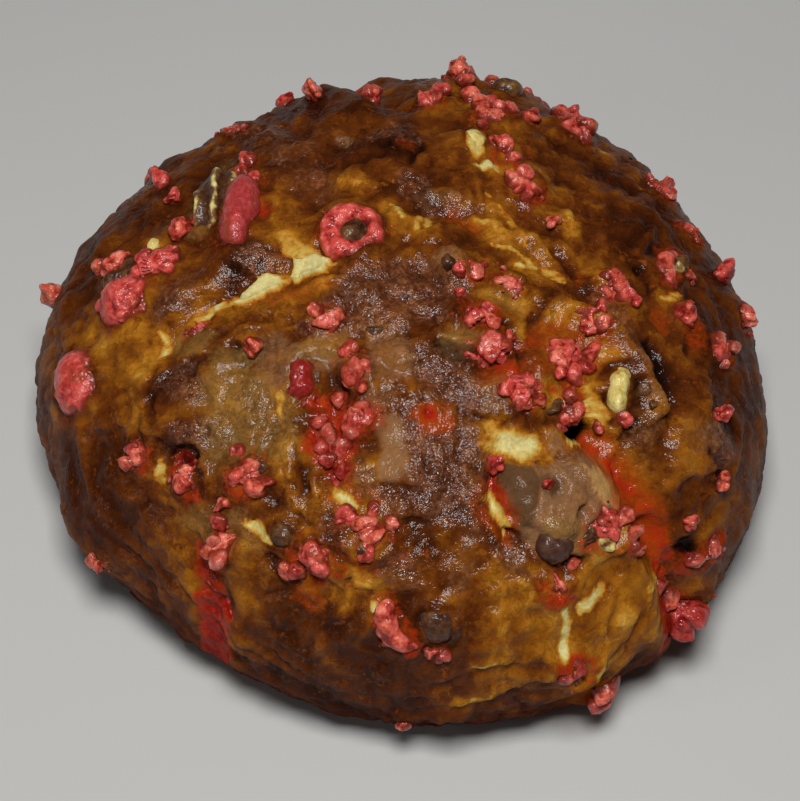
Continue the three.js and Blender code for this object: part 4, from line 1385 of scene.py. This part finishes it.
LUMP_TINT = (0.15, 0.65)  # from coral towards magenta, where none is given
LUMP_SYRUPY = 0.08  # most that syrup reddens a lump, where nothing is given
LUMP_TRAITS = {  # what the photograph shows of single lumps; scale and stretch are against the solid
    "praline_01": {"tint": 0.8, "rough": 0.3, "scale": 1.2, "syrupy": 0.15},
    "praline_02": {"tint": 1.0, "rough": 0.7, "scale": 1.45},
    "praline_03": {"tint": 1.0, "rough": 0.8, "scale": 1.4},
    "praline_04": {
        "tint": 1.5, "rough": 0.25, "scale": 1.25, "stretch": (0.72, 1.35, 1.1), "close": 4, "raised": 2.0},
    "praline_06": {"tint": 0.8, "rough": 0.3, "scale": 1.15, "raised": 0.5, "syrupy": 0.8},
    "praline_08": {"scale": 1.1, "syrupy": 0.35},
    "praline_10": {"tint": 0.1, "scale": 0.85},
    "praline_11": {"tint": 0.1, "syrupy": 0.2},
    "praline_12": {"tint": 0.2, "scale": 0.9},
    "praline_13": {"tint": 0.25},
    "praline_14": {"tint": 0.35},
    "praline_16": {"scale": 0.85},
    "praline_17": {"scale": 1.1},
    "praline_18": {"scale": 1.15},
    "praline_28": {"tint": 0.6, "scale": 0.85},
    "praline_29": {"tint": 0.7},
    "praline_31": {"scale": 0.85, "syrupy": 0.3},
    "praline_35": {"tint": 0.95, "scale": 0.95},
    "praline_36": {"tint": 0.8, "syrupy": 0.55},
    "praline_38": {"syrupy": 0.6},
    "praline_39": {"tint": 1.0, "raised": 1.6},
}


def drawn_directions(item, trait):
    """Unit directions drawn evenly over a ball, one for each item."""
    rise = draw(item, trait) * 2 - 1
    return toward(draw(item, trait + 0.5) * 2 * math.pi, np.arcsin(rise))


def broken(directions, middle, half, seed):
    """Reach in directions to the far side of a chunk about a middle: a ball cut by flat breaks at drawn
    distances and drawn turns, their edges softly rounded; 0 where the direction misses the chunk."""
    item = seed * BREAKS + np.arange(BREAKS)
    facing = drawn_directions(item, 53)
    depth = half * draw_between(BREAK_DEPTH, item, 55) + facing @ middle
    slope = directions @ facing.T
    exits = np.where(slope > SLOPE_LEAST, depth / np.maximum(slope, SLOPE_LEAST), np.inf)
    most = np.linalg.norm(middle) + CHUNK_MOST * half
    out = -np.log(np.exp(-BREAK_SHARP * exits).sum(axis=1) + math.exp(-BREAK_SHARP * most)) / BREAK_SHARP
    into = np.where(slope < -SLOPE_LEAST, depth / np.minimum(slope, -SLOPE_LEAST), 0).max(axis=1)
    return np.where(out > into, out, 0)


def chunky(directions, core, middles, halves, seed):
    """Reach in directions to the outermost of a core and of broken chunks, and how deep in a crease between
    two of them a direction lies."""
    reach = [core]
    for item, (middle, half) in enumerate(zip(middles, halves)):
        reach.append(broken(directions, middle, half, seed * CHUNK_SEEDS + item))
    second, first = np.sort(reach, axis=0)[-2:]
    return first, np.exp((second - first) / CREASE_WIDE)


def lump(name, seed):
    """A praline over its CAD solid: a few chunks of broken sugar that fill the solid's form, with dents and a
    fine grain. A rough lump shows its chunks in full, and a raised one stands that far out of its seat."""
    traits = {
        "tint": draw_between(LUMP_TINT, seed, 51),
        "syrupy": LUMP_SYRUPY * draw(seed, 52),
        "rough": 1.0,
        "scale": 1.0,
        "stretch": (1, 1, 1),
        "close": LUMP_CLOSE,
        "raised": 0.0,
        **LUMP_TRAITS.get(name, {}),
    }
    directions, quads, caps = ball(LUMP_RINGS, LUMP_COLUMNS)
    middle, reach = solid_reach(name, directions, traits["close"])
    long = np.ptp(node_corners(name), axis=0).max()
    count = int(np.clip(long / CHUNK_APART, *CHUNK_COUNT))
    item = np.arange(count)
    drawn = seed * CHUNK_DRAWS + item
    stray = CHUNK_STRAY * (draw(drawn, 57) * 2 - 1)
    turn = np.radians(GOLDEN_ANGLE) * item + LUMP_TURN * draw(seed, 56) + stray
    facing = toward(turn, np.arcsin(1 - 2 * (item + 0.5) / count))
    out = solid_reach(name, facing)[1]
    halves = out * draw_between(CHUNK_HALF, drawn, 58)
    middles = facing * (out * draw_between(CHUNK_OUT, drawn, 59))[:, None]
    far, crease = chunky(directions, CORE * reach, middles, halves, seed)
    rough = traits["rough"]
    far = (reach + rough * (far - reach)) * traits["scale"]
    form = directions * far[:, None] * traits["stretch"]
    points = middle + unit(middle - HEART) * traits["raised"] + form
    dents = soft_noise(drift(points, size=3, reach=1, seed=seed), size=2.6, seed=seed + 9)
    grain = soft_noise(points, size=1.2, seed=seed + 7)
    points = points + directions * (LUMP_GRAIN * grain + LUMP_DENT * rough * dents)[:, None]
    knob = np.clip(0.85 - 0.6 * rough * crease + 0.3 * dents + 0.25 * grain, 0, 1)
    return points, [quads, caps], sugar_values(knob, traits["tint"], traits["syrupy"])


def above_skin(points):
    """How far points stand out of the finished skin, along the line from the heart."""
    skin = on_skin(*bearing_and_lift(points))
    return np.linalg.norm(points - HEART, axis=1) - np.linalg.norm(skin - HEART, axis=1)


SUGAR_CORAL = [
    (0.0, (136, 38, 18)),
    (0.3, (216, 94, 70)),
    (0.6, (242, 134, 110)),
    (1.0, (255, 204, 186)),
]
SUGAR_MAGENTA = [
    (0.0, (126, 24, 20)),
    (0.3, (200, 66, 57)),
    (0.6, (230, 98, 87)),
    (1.0, (250, 180, 165)),
]
SUGAR_DUSKY = linear(160, 52, 56)
SUGAR_SCORCHED = linear(150, 66, 26)
SUGAR_SYRUP = linear(130, 12, 12)
SUGAR_FOOT_SHADE = linear(114, 32, 17)
SUGAR_FILM = linear(134, 52, 26)


def sugar_material():
    """Cooked pink sugar: coral or magenta by the lump, deep red and dark in the creases and pale on the
    knobs, which is partly painted shade and highlight, browned in patches, with painted shade where it meets
    the crust, grainy and half glossy."""
    material, tree, sugar = new_material("pink_sugar")
    patches = mottle(tree, scale=260, detail=3, distortion=0.6)
    grain = mottle(tree, scale=1100, detail=3)
    flecks = mottle(tree, scale=380, detail=3, distortion=0.4)
    # the ramp's dark end down in the creases is partly painted shade, its pale end up on the knobs partly
    # painted highlight
    depth = weighed(tree, -0.08, (read(tree, "knob"), 0.6), (grain, 0.14), (flecks, 0.28))
    tint = weighed(tree, read(tree, "tint"), (patches, 0.3))
    coral = steps_of_colour(tree, depth, SUGAR_CORAL)
    magenta = steps_of_colour(tree, depth, SUGAR_MAGENTA)
    colour = blend(tree, ease(tree, tint, 0.2, 0.8), coral, magenta)
    colour = blend(tree, ease(tree, tint, 1.1, 1.6), colour, SUGAR_DUSKY, most=0.75)
    scorched = ease(tree, mottle(tree, scale=150, detail=3, distortion=0.4), 0.35, 0.8)
    colour = blend(tree, scorched, colour, SUGAR_SCORCHED, most=0.6)
    colour = blend(tree, read(tree, "syrupy"), colour, SUGAR_SYRUP)
    film = weighed(tree, mottle(tree, scale=260, detail=2, distortion=0.5), (read(tree, "stands"), -0.3))
    colour = blend(tree, ease(tree, film, -0.2, 0.4), colour, SUGAR_FILM, most=0.7)
    # painted shade: sugar darkened where it meets the crust
    foot = weighed(tree, read(tree, "stands"), (patches, 0.5))
    colour = blend(tree, ease(tree, foot, 1.8, 0.0), colour, SUGAR_FOOT_SHADE, most=0.85)
    plug(tree, sugar, {
        "Base Color": colour,
        "Roughness": weighed(tree, 0.45, (grain, 0.1), (read(tree, "syrupy"), -0.25)),
        "Coat Weight": 0.5,
        "Coat Roughness": 0.18,
        "Specular IOR Level": 0.2,
        "Subsurface Weight": 0.15,
        "Subsurface Radius": (1.0, 0.3, 0.3),
        "Subsurface Scale": 0.0015,
    })
    roughen(tree, sugar, clouds(tree, scale=700, detail=2))
    return material


sugar = sugar_material()
shell_nodes = ("praline_ring", "praline_crescent", "praline_hook")
lump_nodes = [name for name in praline_nodes if name not in shell_nodes]
points, faces, values = joined([lump(name, LUMP_SEED + number) for number, name in enumerate(lump_nodes)])
values["stands"] = above_skin(points)
lumps = make_mesh("praline_lumps", points, faces, values, sugar)
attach(lumps, "root")
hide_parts(*lump_nodes)

# The broken shells. A ring of sugar cracked open round its almond, and two curls of shell that have
# lost theirs, stuck to the crust where they fell.
RING = {"place": (154, 75), "across": 18.5, "proud": 4.6, "thick": 6.2, "lean": 0.6}
RING_STEPS = 72  # round the ring
SECTION_STEPS = 26  # round its section
RING_UNEVEN = [(1, 0.16, 2.4), (3, 0.08, 0.0)]  # lobes, swell and turn of its thickness
RING_TINT = 0.85
RING_SEED = 301
CURLS = {
    "praline_crescent": {"place": (-93, 16), "long": 19, "wide": 6, "proud": 4, "heading": -75, "bend": 8},
    "praline_hook": {"place": (7, 33), "long": 16, "wide": 6.5, "proud": 3.5, "heading": -100, "bend": 6.5},
}
CURL_FLAT = 0.9  # height against width
CURL_FAT = 0.25  # share by which its first end is fatter and its last end thinner
CURL_TINT = 0.45
CURL_SEED = 311
SHELL_KNOB = 4.2
SHELL_KNOB_HIGH = 0.7
SHELL_GRAIN = 0.12
KNOB_LEVEL = 0.45  # of the surface that knobs stand on, from a crease at 0 to a top at 1
SEED_STEP = 10  # between the seeds of pieces that use several


def seat(place, heading):
    """The spot of a place on the solid's skin, with axes along a heading, to its left and outwards."""
    step = 0.5
    bearing, lift = place
    east, west, north, south = dome_path(
        [(bearing + step, lift), (bearing - step, lift), (bearing, lift + step), (bearing, lift - step)])
    outward = unit(np.cross(east - west, north - south))
    turn = math.radians(heading)
    flat = np.array([math.cos(turn), math.sin(turn), 0.0])
    length = unit(flat - outward * (flat @ outward))
    spot = dome_path([place])
    spot = spot[0] + toward(*np.radians(place)) * solid_relief(spot)[0]
    return spot, np.stack([length, np.cross(outward, length), outward])


def shell_values(points, outward, seed, tint):
    """Knobs of a shell, pushed out along given directions, and its values."""
    knob = knobs(points, SHELL_KNOB, seed)
    grain = soft_noise(points, size=1.3, seed=seed + 7)
    points = points + outward * (SHELL_KNOB_HIGH * (knob - KNOB_LEVEL) + SHELL_GRAIN * grain)[:, None]
    return points, sugar_values(knob, tint)


def ring_shell():
    """A ring: a round section carried round a circle, thicker at one side."""
    turns = [np.arange(steps) * 2 * math.pi / steps for steps in (RING_STEPS, SECTION_STEPS)]
    about, section = np.meshgrid(*turns, indexing="ij")
    swells = sum(swell * np.cos(lobes * about + start) for lobes, swell, start in RING_UNEVEN)
    thick = RING["thick"] / 2 * (1 + swells)
    reach = RING["across"] / 2 - RING["thick"] / 2
    outward = toward(about, section)
    middle = reach * toward(about, 0 * section)
    spot, axes = seat(RING["place"], 0)
    spot = spot + axes[2] * (RING["proud"] - RING["thick"] / 2)
    upward = unit(axes[2] + RING["lean"] * toward_eye)
    length = unit(axes[0] - upward * (axes[0] @ upward))
    axes = np.stack([length, np.cross(upward, length), upward])
    outward = outward.reshape(-1, 3) @ axes
    points = spot + (middle.reshape(-1, 3) @ axes) + outward * thick.reshape(-1, 1)
    index = np.arange(RING_STEPS * SECTION_STEPS).reshape(RING_STEPS, SECTION_STEPS)
    after = np.roll(index, -1, axis=0)
    quads = np.stack([index, after, np.roll(after, -1, axis=1), np.roll(index, -1, axis=1)], axis=-1)
    points, values = shell_values(points, outward, RING_SEED, RING_TINT)
    return points, [quads.reshape(-1, 4)], values


def curl_shell(place, long, wide, proud, heading, bend, seed):
    """A curl: an egg shape bent round an arc, fatter at its first end."""
    directions, quads, caps = ball(LUMP_COLUMNS, LUMP_RINGS)
    directions = directions[:, [2, 0, 1]]
    egg = directions * np.array([long, wide, wide * CURL_FLAT]) / 2
    egg[:, 1:] *= 1 - CURL_FAT * directions[:, :1]
    turn = egg[:, 0] / bend
    arm = bend - egg[:, 1]
    bent = np.stack([np.sin(turn) * arm, bend - np.cos(turn) * arm, egg[:, 2]], axis=-1)
    spot, axes = seat(place, heading)
    spot = spot + axes[2] * (proud - wide * CURL_FLAT / 2)
    core = np.stack([np.sin(turn) * bend, bend - np.cos(turn) * bend, 0 * turn], axis=-1)
    points, values = shell_values(spot + bent @ axes, unit(bent - core + 1e-9) @ axes, seed, CURL_TINT)
    return points, [quads, caps], values


shells = [ring_shell()]
for number, curl in enumerate(CURLS.values()):
    shells.append(curl_shell(**curl, seed=CURL_SEED + SEED_STEP * number))
points, faces, values = joined(shells)
values["stands"] = above_skin(points)
shells = make_mesh("praline_shells", points, faces, values, sugar)
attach(shells, "root")
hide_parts("praline_ring", *CURLS)

# The bare almonds. Whole or broken almonds that came out of their sugar, roasted in their brown skins
# or split to the cream flesh, and pressed into the crust.
FLESH = {  # how far the flesh shows: 0 is brown skin, 1 cream flesh, and below 0 the skin is dark
    "almond_1": 1.0,
    "almond_2": 0.24,
    "almond_3": -0.5,
    "almond_4": -0.3,
    "almond_5": 0.9,
}
RIDGED = {"almond_2": 0.22}  # how much paler its ridges are
RIDGE_APART = 5
RIDGE_HIGH = 1.6
RIDGE_BEND = 0.8  # radians by which wrinkles bend the ridges
WRINKLE_DRAWN_OUT = 0.75  # share by which wrinkles are drawn out along a nut
NUT_WRINKLE = 0.4
NUT_GRAIN = 0.14
NUT_SEED = 401
NUT_STRETCH = {  # against the solid, along X, Y and Z: the rest keep its form
    "almond_1": (0.72, 1, 1),
    "almond_2": (1.15, 1.6, 1.1),
    "almond_3": (0.85, 1, 1),
}
NUT_SOFT = 8  # how closely a nut follows its solid
NUT_BITS = [  # pixel, across, flesh: bits of nut that show in broken pralines
    ((128, 267), 8.5, 0.0),
    ((115, 283), 6, 0.0),
    ((156, 246), 4.5, 0.9),
    ((366, 546), 5, 0.0),
    ((699, 606), 5.5, 0.9),
    ((675, 268), 4.5, 0.4),
    ((606, 541), 4.5, 0.5),
    ((583, 533), 5.5, 0.2),
    ((448, 270), 5.5, 0.15),
    ((374, 331), 5, 0.1),
    ((640, 390), 3.5, 0.0),
    ((645, 403), 3, 0.0),
    ((621, 373), 4.2, 0.85),
    ((558, 408), 4.5, 0.0),
    ((262, 470), 4, 0.1),
]
BIT_PROUD = 0.28  # share of a bit's width that stands out
BIT_HALF = 0.6  # of its half width before it is cut by breaks, against its width
BIT_BREAKS_SEED = 451
BIT_SEED = 701
RING_NUT = {"across": 10.5, "proud": 5, "heading": 40, "form": [1.1, 0.85, 1.0], "flesh": 0.1, "seed": 491}
NUT_SKIN = [(0.0, (36, 18, 10)), (0.4, (76, 44, 24)), (0.75, (116, 78, 40)), (1.0, (164, 124, 60))]
NUT_PURPLE = linear(74, 46, 42)
NUT_FLESH = [(0.0, (150, 104, 36)), (0.3, (206, 178, 92)), (0.7, (226, 208, 130)), (1.0, (238, 226, 164))]


def nut(points, directions, seed, flesh, ridged=0.0):
    """A nut's surface wrinkled lengthwise, with its values; ridged skin stands higher and shows paler."""
    middle = points.mean(axis=0)
    lengthwise = np.linalg.svd(points - middle, full_matrices=False)[2][0]
    offset = drift(points, size=4, reach=1, seed=seed) - middle
    across = offset[:, 0]
    offset = offset - WRINKLE_DRAWN_OUT * (offset @ lengthwise)[:, None] * lengthwise
    wrinkle = soft_noise(offset + 50, size=1.9, seed=seed + 3)
    if ridged:
        wrinkle = np.cos(2 * math.pi / RIDGE_APART * across + RIDGE_BEND * wrinkle)
    grain = soft_noise(points, size=1.0, seed=seed + 5)
    swell = (NUT_WRINKLE + RIDGE_HIGH * ridged) * wrinkle + NUT_GRAIN * grain
    values = {
        "wrinkle": np.maximum(wrinkle * 0.5 + 0.5, ridged * RIDGE_HIGH),
        "flesh": flesh + ridged * wrinkle,
    }
    return points + directions * swell[:, None], values


def nut_material():
    """Almond: brown wrinkled skin or smooth cream flesh, dark in the wrinkles, lightly oiled."""
    material, tree, almond = new_material("almond")
    grain = mottle(tree, scale=800, detail=4)
    tone = weighed(tree, 0.1, (read(tree, "wrinkle"), 0.7), (grain, 0.2))
    flesh = weighed(tree, read(tree, "flesh"), (mottle(tree, scale=260, detail=3), 0.25))
    brown = steps_of_colour(tree, tone, NUT_SKIN)
    cream = steps_of_colour(tree, tone, NUT_FLESH)
    colour = blend(tree, ease(tree, flesh, 0.35, 0.6), brown, cream)
    colour = blend(tree, ease(tree, read(tree, "flesh"), -0.1, -0.5), colour, NUT_PURPLE, most=0.6)
    plug(tree, almond, {
        "Base Color": colour,
        "Roughness": weighed(tree, 0.42, (grain, 0.1)),
        "Specular IOR Level": 0.2,
        "Coat Weight": 0.3,
        "Coat Roughness": 0.2,
    })
    roughen(tree, almond, clouds(tree, scale=500, detail=2))
    return material


nuts = []
directions, quads, caps = ball(LUMP_RINGS, LUMP_COLUMNS)
for number, name in enumerate(almond_nodes):
    middle, reach = solid_reach(name, directions, NUT_SOFT)
    egg = middle + directions * reach[:, None] * NUT_STRETCH.get(name, (1, 1, 1))
    seed = NUT_SEED + SEED_STEP * number
    points, values = nut(egg, directions, seed, FLESH.get(name, 0.0), RIDGED.get(name, 0.0))
    nuts.append((points, [quads, caps], values))
spot, axes = seat(RING["place"], RING_NUT["heading"])
half = RING_NUT["across"] / 2
form = directions * RING_NUT["form"] * half
egg = spot + axes[2] * (RING_NUT["proud"] - half) + form @ axes
points, values = nut(egg, directions @ axes, RING_NUT["seed"], RING_NUT["flesh"])
nuts.append((points, [quads, caps], values))
bearing, lift = bearing_and_lift(dome_seen([pixel for pixel, _, _ in NUT_BITS]))
for number, (spot, outward) in enumerate(zip(on_skin(bearing, lift), toward(bearing, lift))):
    _, across, flesh = NUT_BITS[number]
    reach = broken(directions, np.zeros(3), across * BIT_HALF, BIT_BREAKS_SEED + number)
    egg = spot + outward * across * (BIT_PROUD - 0.5) + directions * reach[:, None]
    points, values = nut(egg, directions, BIT_SEED + SEED_STEP * number, flesh)
    nuts.append((points, [quads, caps], values))
points, faces, values = joined(nuts)
almonds = make_mesh("almonds", points, faces, values, nut_material())
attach(almonds, "root")
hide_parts(*almond_nodes)

# The chips. Splinters of cooked pink sugar that broke off as the pralines were chopped.
# They were too small to press in, and the egg wash sticks them to the crust.
CHIPS = [  # bearing, lift, across
    (-148, 49, 5.5), (153, 32, 5), (164, 38, 5.5), (109, 24, 6.5), (98, 31, 6), (60, 34, 6), (21, 54, 5),
    (12, 19, 6), (-5, 31, 7), (-51, 19, 5), (-91, -4, 3.5), (-69, 38, 4.5), (-61, 34, 3.5), (-127, 26, 4.5),
    (171, 27, 6.5), (169, 11, 6.5), (147, 24, 6.5), (-22, 22, 5), (-31, 16, 4.5), (-40, 16, 4.5),
    (60, 13, 5.5), (93, -4, 4.5), (112, 12, 5), (126, 11.5, 3.5), (139, 10, 6),
]
CHIP_GRID = (12, 20)  # rings and columns
CHIP_SUNK = 0.3  # the shares are all of a chip's width
CHIP_HALF = 0.6
CHIP_FORM = [1.15, 0.9, 1]
CHIP_KNOB = 0.4
CHIP_KNOB_LEAST = 1.8  # millimetres
CHIP_KNOB_HIGH = 0.2
CHIP_SWELL = 0.16
CHIP_SWELL_ACROSS = 0.5
CHIP_SEED = 501


def chip(bearing, lift, across, seed):
    """A chip: a small chunk cut by flat breaks and set with knobs, sunk by a share of its width."""
    directions, quads, caps = ball(*CHIP_GRID)
    spot, axes = seat((bearing, lift), 360 * draw(seed, 61))
    middle = spot + axes[2] * across * (0.5 - CHIP_SUNK)
    reach = broken(directions, np.zeros(3), across * CHIP_HALF, seed)
    points = middle + (directions * CHIP_FORM) @ axes * reach[:, None]
    knob = knobs(points, max(CHIP_KNOB_LEAST, across * CHIP_KNOB), seed)
    swell = CHIP_SWELL * soft_noise(points, across * CHIP_SWELL_ACROSS, seed + 9)
    swell = across * (swell + CHIP_KNOB_HIGH * (knob - KNOB_LEVEL))
    points = points + (directions @ axes) * swell[:, None]
    return points, [quads, caps], sugar_values(knob, draw(seed, 62))


points, faces, values = joined([chip(*row, CHIP_SEED + number) for number, row in enumerate(CHIPS)])
values["stands"] = above_skin(points)
chips = make_mesh("praline_chips", points, faces, values, sugar)
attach(chips, "root")
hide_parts("loaf")

# The crumbs. Sugar that broke off the pralines as they were kneaded in, strewn close round each of them
# and half sunk in the egg wash.
CRUMBS_EACH = 2
CRUMB_ACROSS = (1.2, 4.2)
CRUMB_STRAY = (0.75, 1.2)  # from the middle of its piece, against the piece's half length
CRUMB_GRID = (14, 20)  # rings and columns
CRUMB_SUNK = 0.5  # share of its width
SOAKED_SUNK = 0.25  # and as much deeper in thick syrup
CRUMB_HALF = 0.58  # of its half width before it is cut by breaks, against its width
CRUMB_ROUGH = 0.12
CRUMB_GRAIN = 0.25
CRUMB_TINT = (0.15, 0.8)
CRUMB_SYRUPY = 0.35  # most that syrup reddens a stray crumb
SOAKED_SYRUPY = 0.7  # how much thick syrup reddens it
CRUMB_SEED = 601
SUGAR_BITS = [  # pixel, across: single bits and the outer bits of clusters, as the photograph shows them
    ((692, 560), 4.5), ((632, 548), 4.5), ((577, 566), 4), ((237, 450), 4.5), ((623, 420), 4.5),
    ((222, 521), 4.5), ((340, 518), 3.5), ((500, 466), 4), ((460, 296), 3.5), ((440, 100), 5),
    ((104, 268), 5.5), ((560, 668), 4.5), ((250, 168), 6), ((256, 184), 5), ((246, 178), 4.5),
    ((440, 652), 4.5), ((430, 650), 4.5), ((359, 420), 7.5), ((337, 403), 5.5), ((326, 463), 6.5),
    ((343, 472), 5.5), ((334, 480), 4.5), ((351, 350), 5.5), ((356, 374), 6.5), ((366, 366), 4.5),
    ((318, 314), 4.5), ((333, 325), 5), ((341, 316), 4.5), ((351, 515), 6), ((367, 521), 6.5),
    ((373, 535), 6), ((366, 549), 5), ((317, 545), 6.5), ((321, 559), 5.5), ((302, 564), 5.5),
    ((291, 564), 4.5), ((241, 474), 5), ((256, 468), 4.5), ((260, 484), 5.5), ((188, 484), 6),
    ((140, 447), 5), ((138, 460), 5.5), ((222, 538), 5), ((226, 551), 6), ((214, 546), 4.5),
    ((562, 360), 6.5), ((577, 355), 6), ((592, 352), 6), ((574, 376), 6.5), ((559, 374), 5),
    ((588, 368), 6), ((592, 313), 5), ((595, 328), 5), ((517, 392), 5.5), ((532, 388), 5.5),
    ((537, 402), 5), ((522, 404), 5), ((572, 398), 5), ((577, 412), 5.5), ((484, 355), 5.5),
    ((499, 347), 5.5), ((509, 341), 4.5), ((473, 316), 5), ((485, 314), 5.5), ((490, 323), 4.5),
    ((602, 280), 5), ((614, 288), 6), ((622, 296), 5.5), ((502, 281), 4.5), ((515, 284), 4.5),
    ((494, 145), 5.5), ((501, 156), 5), ((508, 188), 5), ((522, 184), 5.5), ((528, 196), 5),
    ((462, 76), 6), ((463, 90), 6), ((478, 114), 6), ((497, 117), 6.5), ((510, 120), 5),
    ((496, 80), 5), ((560, 115), 5.5), ((573, 127), 6.5), ((580, 139), 6), ((603, 517), 5.5),
    ((620, 514), 5.5), ((627, 530), 6), ((637, 548), 4.5), ((668, 592), 6), ((678, 608), 7),
    ((690, 622), 7), ((694, 562), 5), ((317, 424), 5.5), ((326, 438), 6.5), ((318, 450), 5.5),
    ((336, 452), 7), ((351, 432), 6), ((112, 304), 7), ((122, 318), 6.5), ((143, 302), 6.5),
    ((146, 258), 5.5), ((160, 271), 6), ((150, 277), 5.5), ((136, 316), 5), ((594, 684), 6),
    ((606, 680), 6.5), ((470, 73), 6.5), ((457, 84), 6), ((470, 101), 6.5), ((486, 107), 6.5),
    ((503, 113), 6), ((491, 123), 5.5), ((566, 122), 6.5), ((579, 132), 6.5), ((498, 150), 6),
    ((515, 190), 6.5), ((524, 201), 5.5), ((608, 284), 6), ((619, 293), 6.5), ((664, 187), 5.5),
    ((669, 197), 5), ((711, 340), 5), ((722, 348), 5.5),
]


def crumb_places():
    """Spots on the skin round each praline, the width of the crumb on each and how far syrup soaks it: turns,
    distances and widths are drawn, and small crumbs are commoner."""
    spots = []
    for name in praline_nodes:
        corners = node_corners(name)
        middle = corners.mean(axis=0)
        half = np.ptp(corners, axis=0).max() / 2
        outward = unit(middle - HEART)
        side = unit(np.cross(outward, [0.0, 0.0, 1.0]))
        item = len(spots) * CRUMBS_EACH + np.arange(CRUMBS_EACH)
        turn = draw(item, 71) * 2 * math.pi
        stray = half * draw_between(CRUMB_STRAY, item, 72)
        turned = np.outer(np.cos(turn), side) + np.outer(np.sin(turn), np.cross(outward, side))
        spots.append(middle + stray[:, None] * turned)
    strays = np.concatenate(spots)
    least, most = CRUMB_ACROSS
    across = least + (most - least) * draw(np.arange(len(strays)), 73) ** 2
    across = np.concatenate([across, [wide for _, wide in SUGAR_BITS]])
    seen = dome_seen([pixel for pixel, _ in SUGAR_BITS])
    bearing, lift = bearing_and_lift(np.concatenate([strays, seen]))
    soaked = covered(stirred(dome_points(bearing, lift)), SYRUP, [], MARK_KINDS["syrup"][2])
    return on_skin(bearing, lift), toward(bearing, lift), across, soaked


def crumb(spot, outward, across, soaked, seed):
    """A crumb: a small chunk cut by flat breaks, with an uneven face, redder where syrup soaks it."""
    directions, quads, caps = ball(*CRUMB_GRID)
    reach = broken(directions, np.zeros(3), across * CRUMB_HALF, seed)
    rough = soft_noise(directions * 1.3 + seed, size=1, seed=3)
    middle = spot + outward * across * (0.5 - CRUMB_SUNK - SOAKED_SUNK * soaked)
    grain = CRUMB_GRAIN * soft_noise(directions * across + seed, size=1.4, seed=5)
    points = middle + directions * (reach + CRUMB_ROUGH * across * rough + grain)[:, None]
    syrupy = max(CRUMB_SYRUPY * draw(seed, 75) ** 2, SOAKED_SYRUPY * soaked)
    knob = np.clip(0.65 + 0.4 * rough + grain, 0, 1)
    values = sugar_values(knob, draw_between(CRUMB_TINT, seed, 74), syrupy)
    values["stands"] = (points - spot) @ outward
    return points, [quads, caps], values


crumbs = [crumb(*row, CRUMB_SEED + number) for number, row in enumerate(zip(*crumb_places()))]
points, faces, values = joined(crumbs)
strewn = make_mesh("praline_crumbs", points, faces, values, sugar)
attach(strewn, "root")
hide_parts("loaf")

# The stage. A plain pale table top that the loaf stands on, a soft box overhead, and weaker light
# from the left and all round.
FLOOR_SIZE = 4  # metres
FLOOR_GREY = linear(198, 197, 194)
FLOOR_ROUGH = 0.9
SOFT_BOXES = [  # name, place and size in metres, watts
    ("soft_box_top", (0.0, -0.25, 0.95), 0.3, 8),
    ("soft_box_left", (-0.9, -0.5, 0.6), 0.3, 0.7),
]
LIT_SPOT = (0, 0, 0.04)  # the loaf's middle
ROOM_LIGHT = 0.03
bpy.ops.mesh.primitive_plane_add(size=FLOOR_SIZE)
floor = bpy.context.object
floor.name = "floor"
floor_paint, tree, shader = new_material("floor")
plug(tree, shader, {"Base Color": FLOOR_GREY, "Roughness": FLOOR_ROUGH})
floor.data.materials.append(floor_paint)
for name, place, size, power in SOFT_BOXES:
    light = bpy.data.lights.new(name, "AREA")
    light.size = size
    light.energy = power
    box = bpy.data.objects.new(name, light)
    box.location = place
    box.rotation_euler = (Vector(place) - Vector(LIT_SPOT)).to_track_quat("Z", "Y").to_euler()
    scene.collection.objects.link(box)
world = bpy.data.worlds.new("studio")
scene.world = world
world.use_nodes = True
tree = world.node_tree
plug(tree, tree.nodes["Background"], {"Color": (1, 1, 1, 1), "Strength": ROOM_LIGHT})
scene.view_settings.view_transform = "Standard"
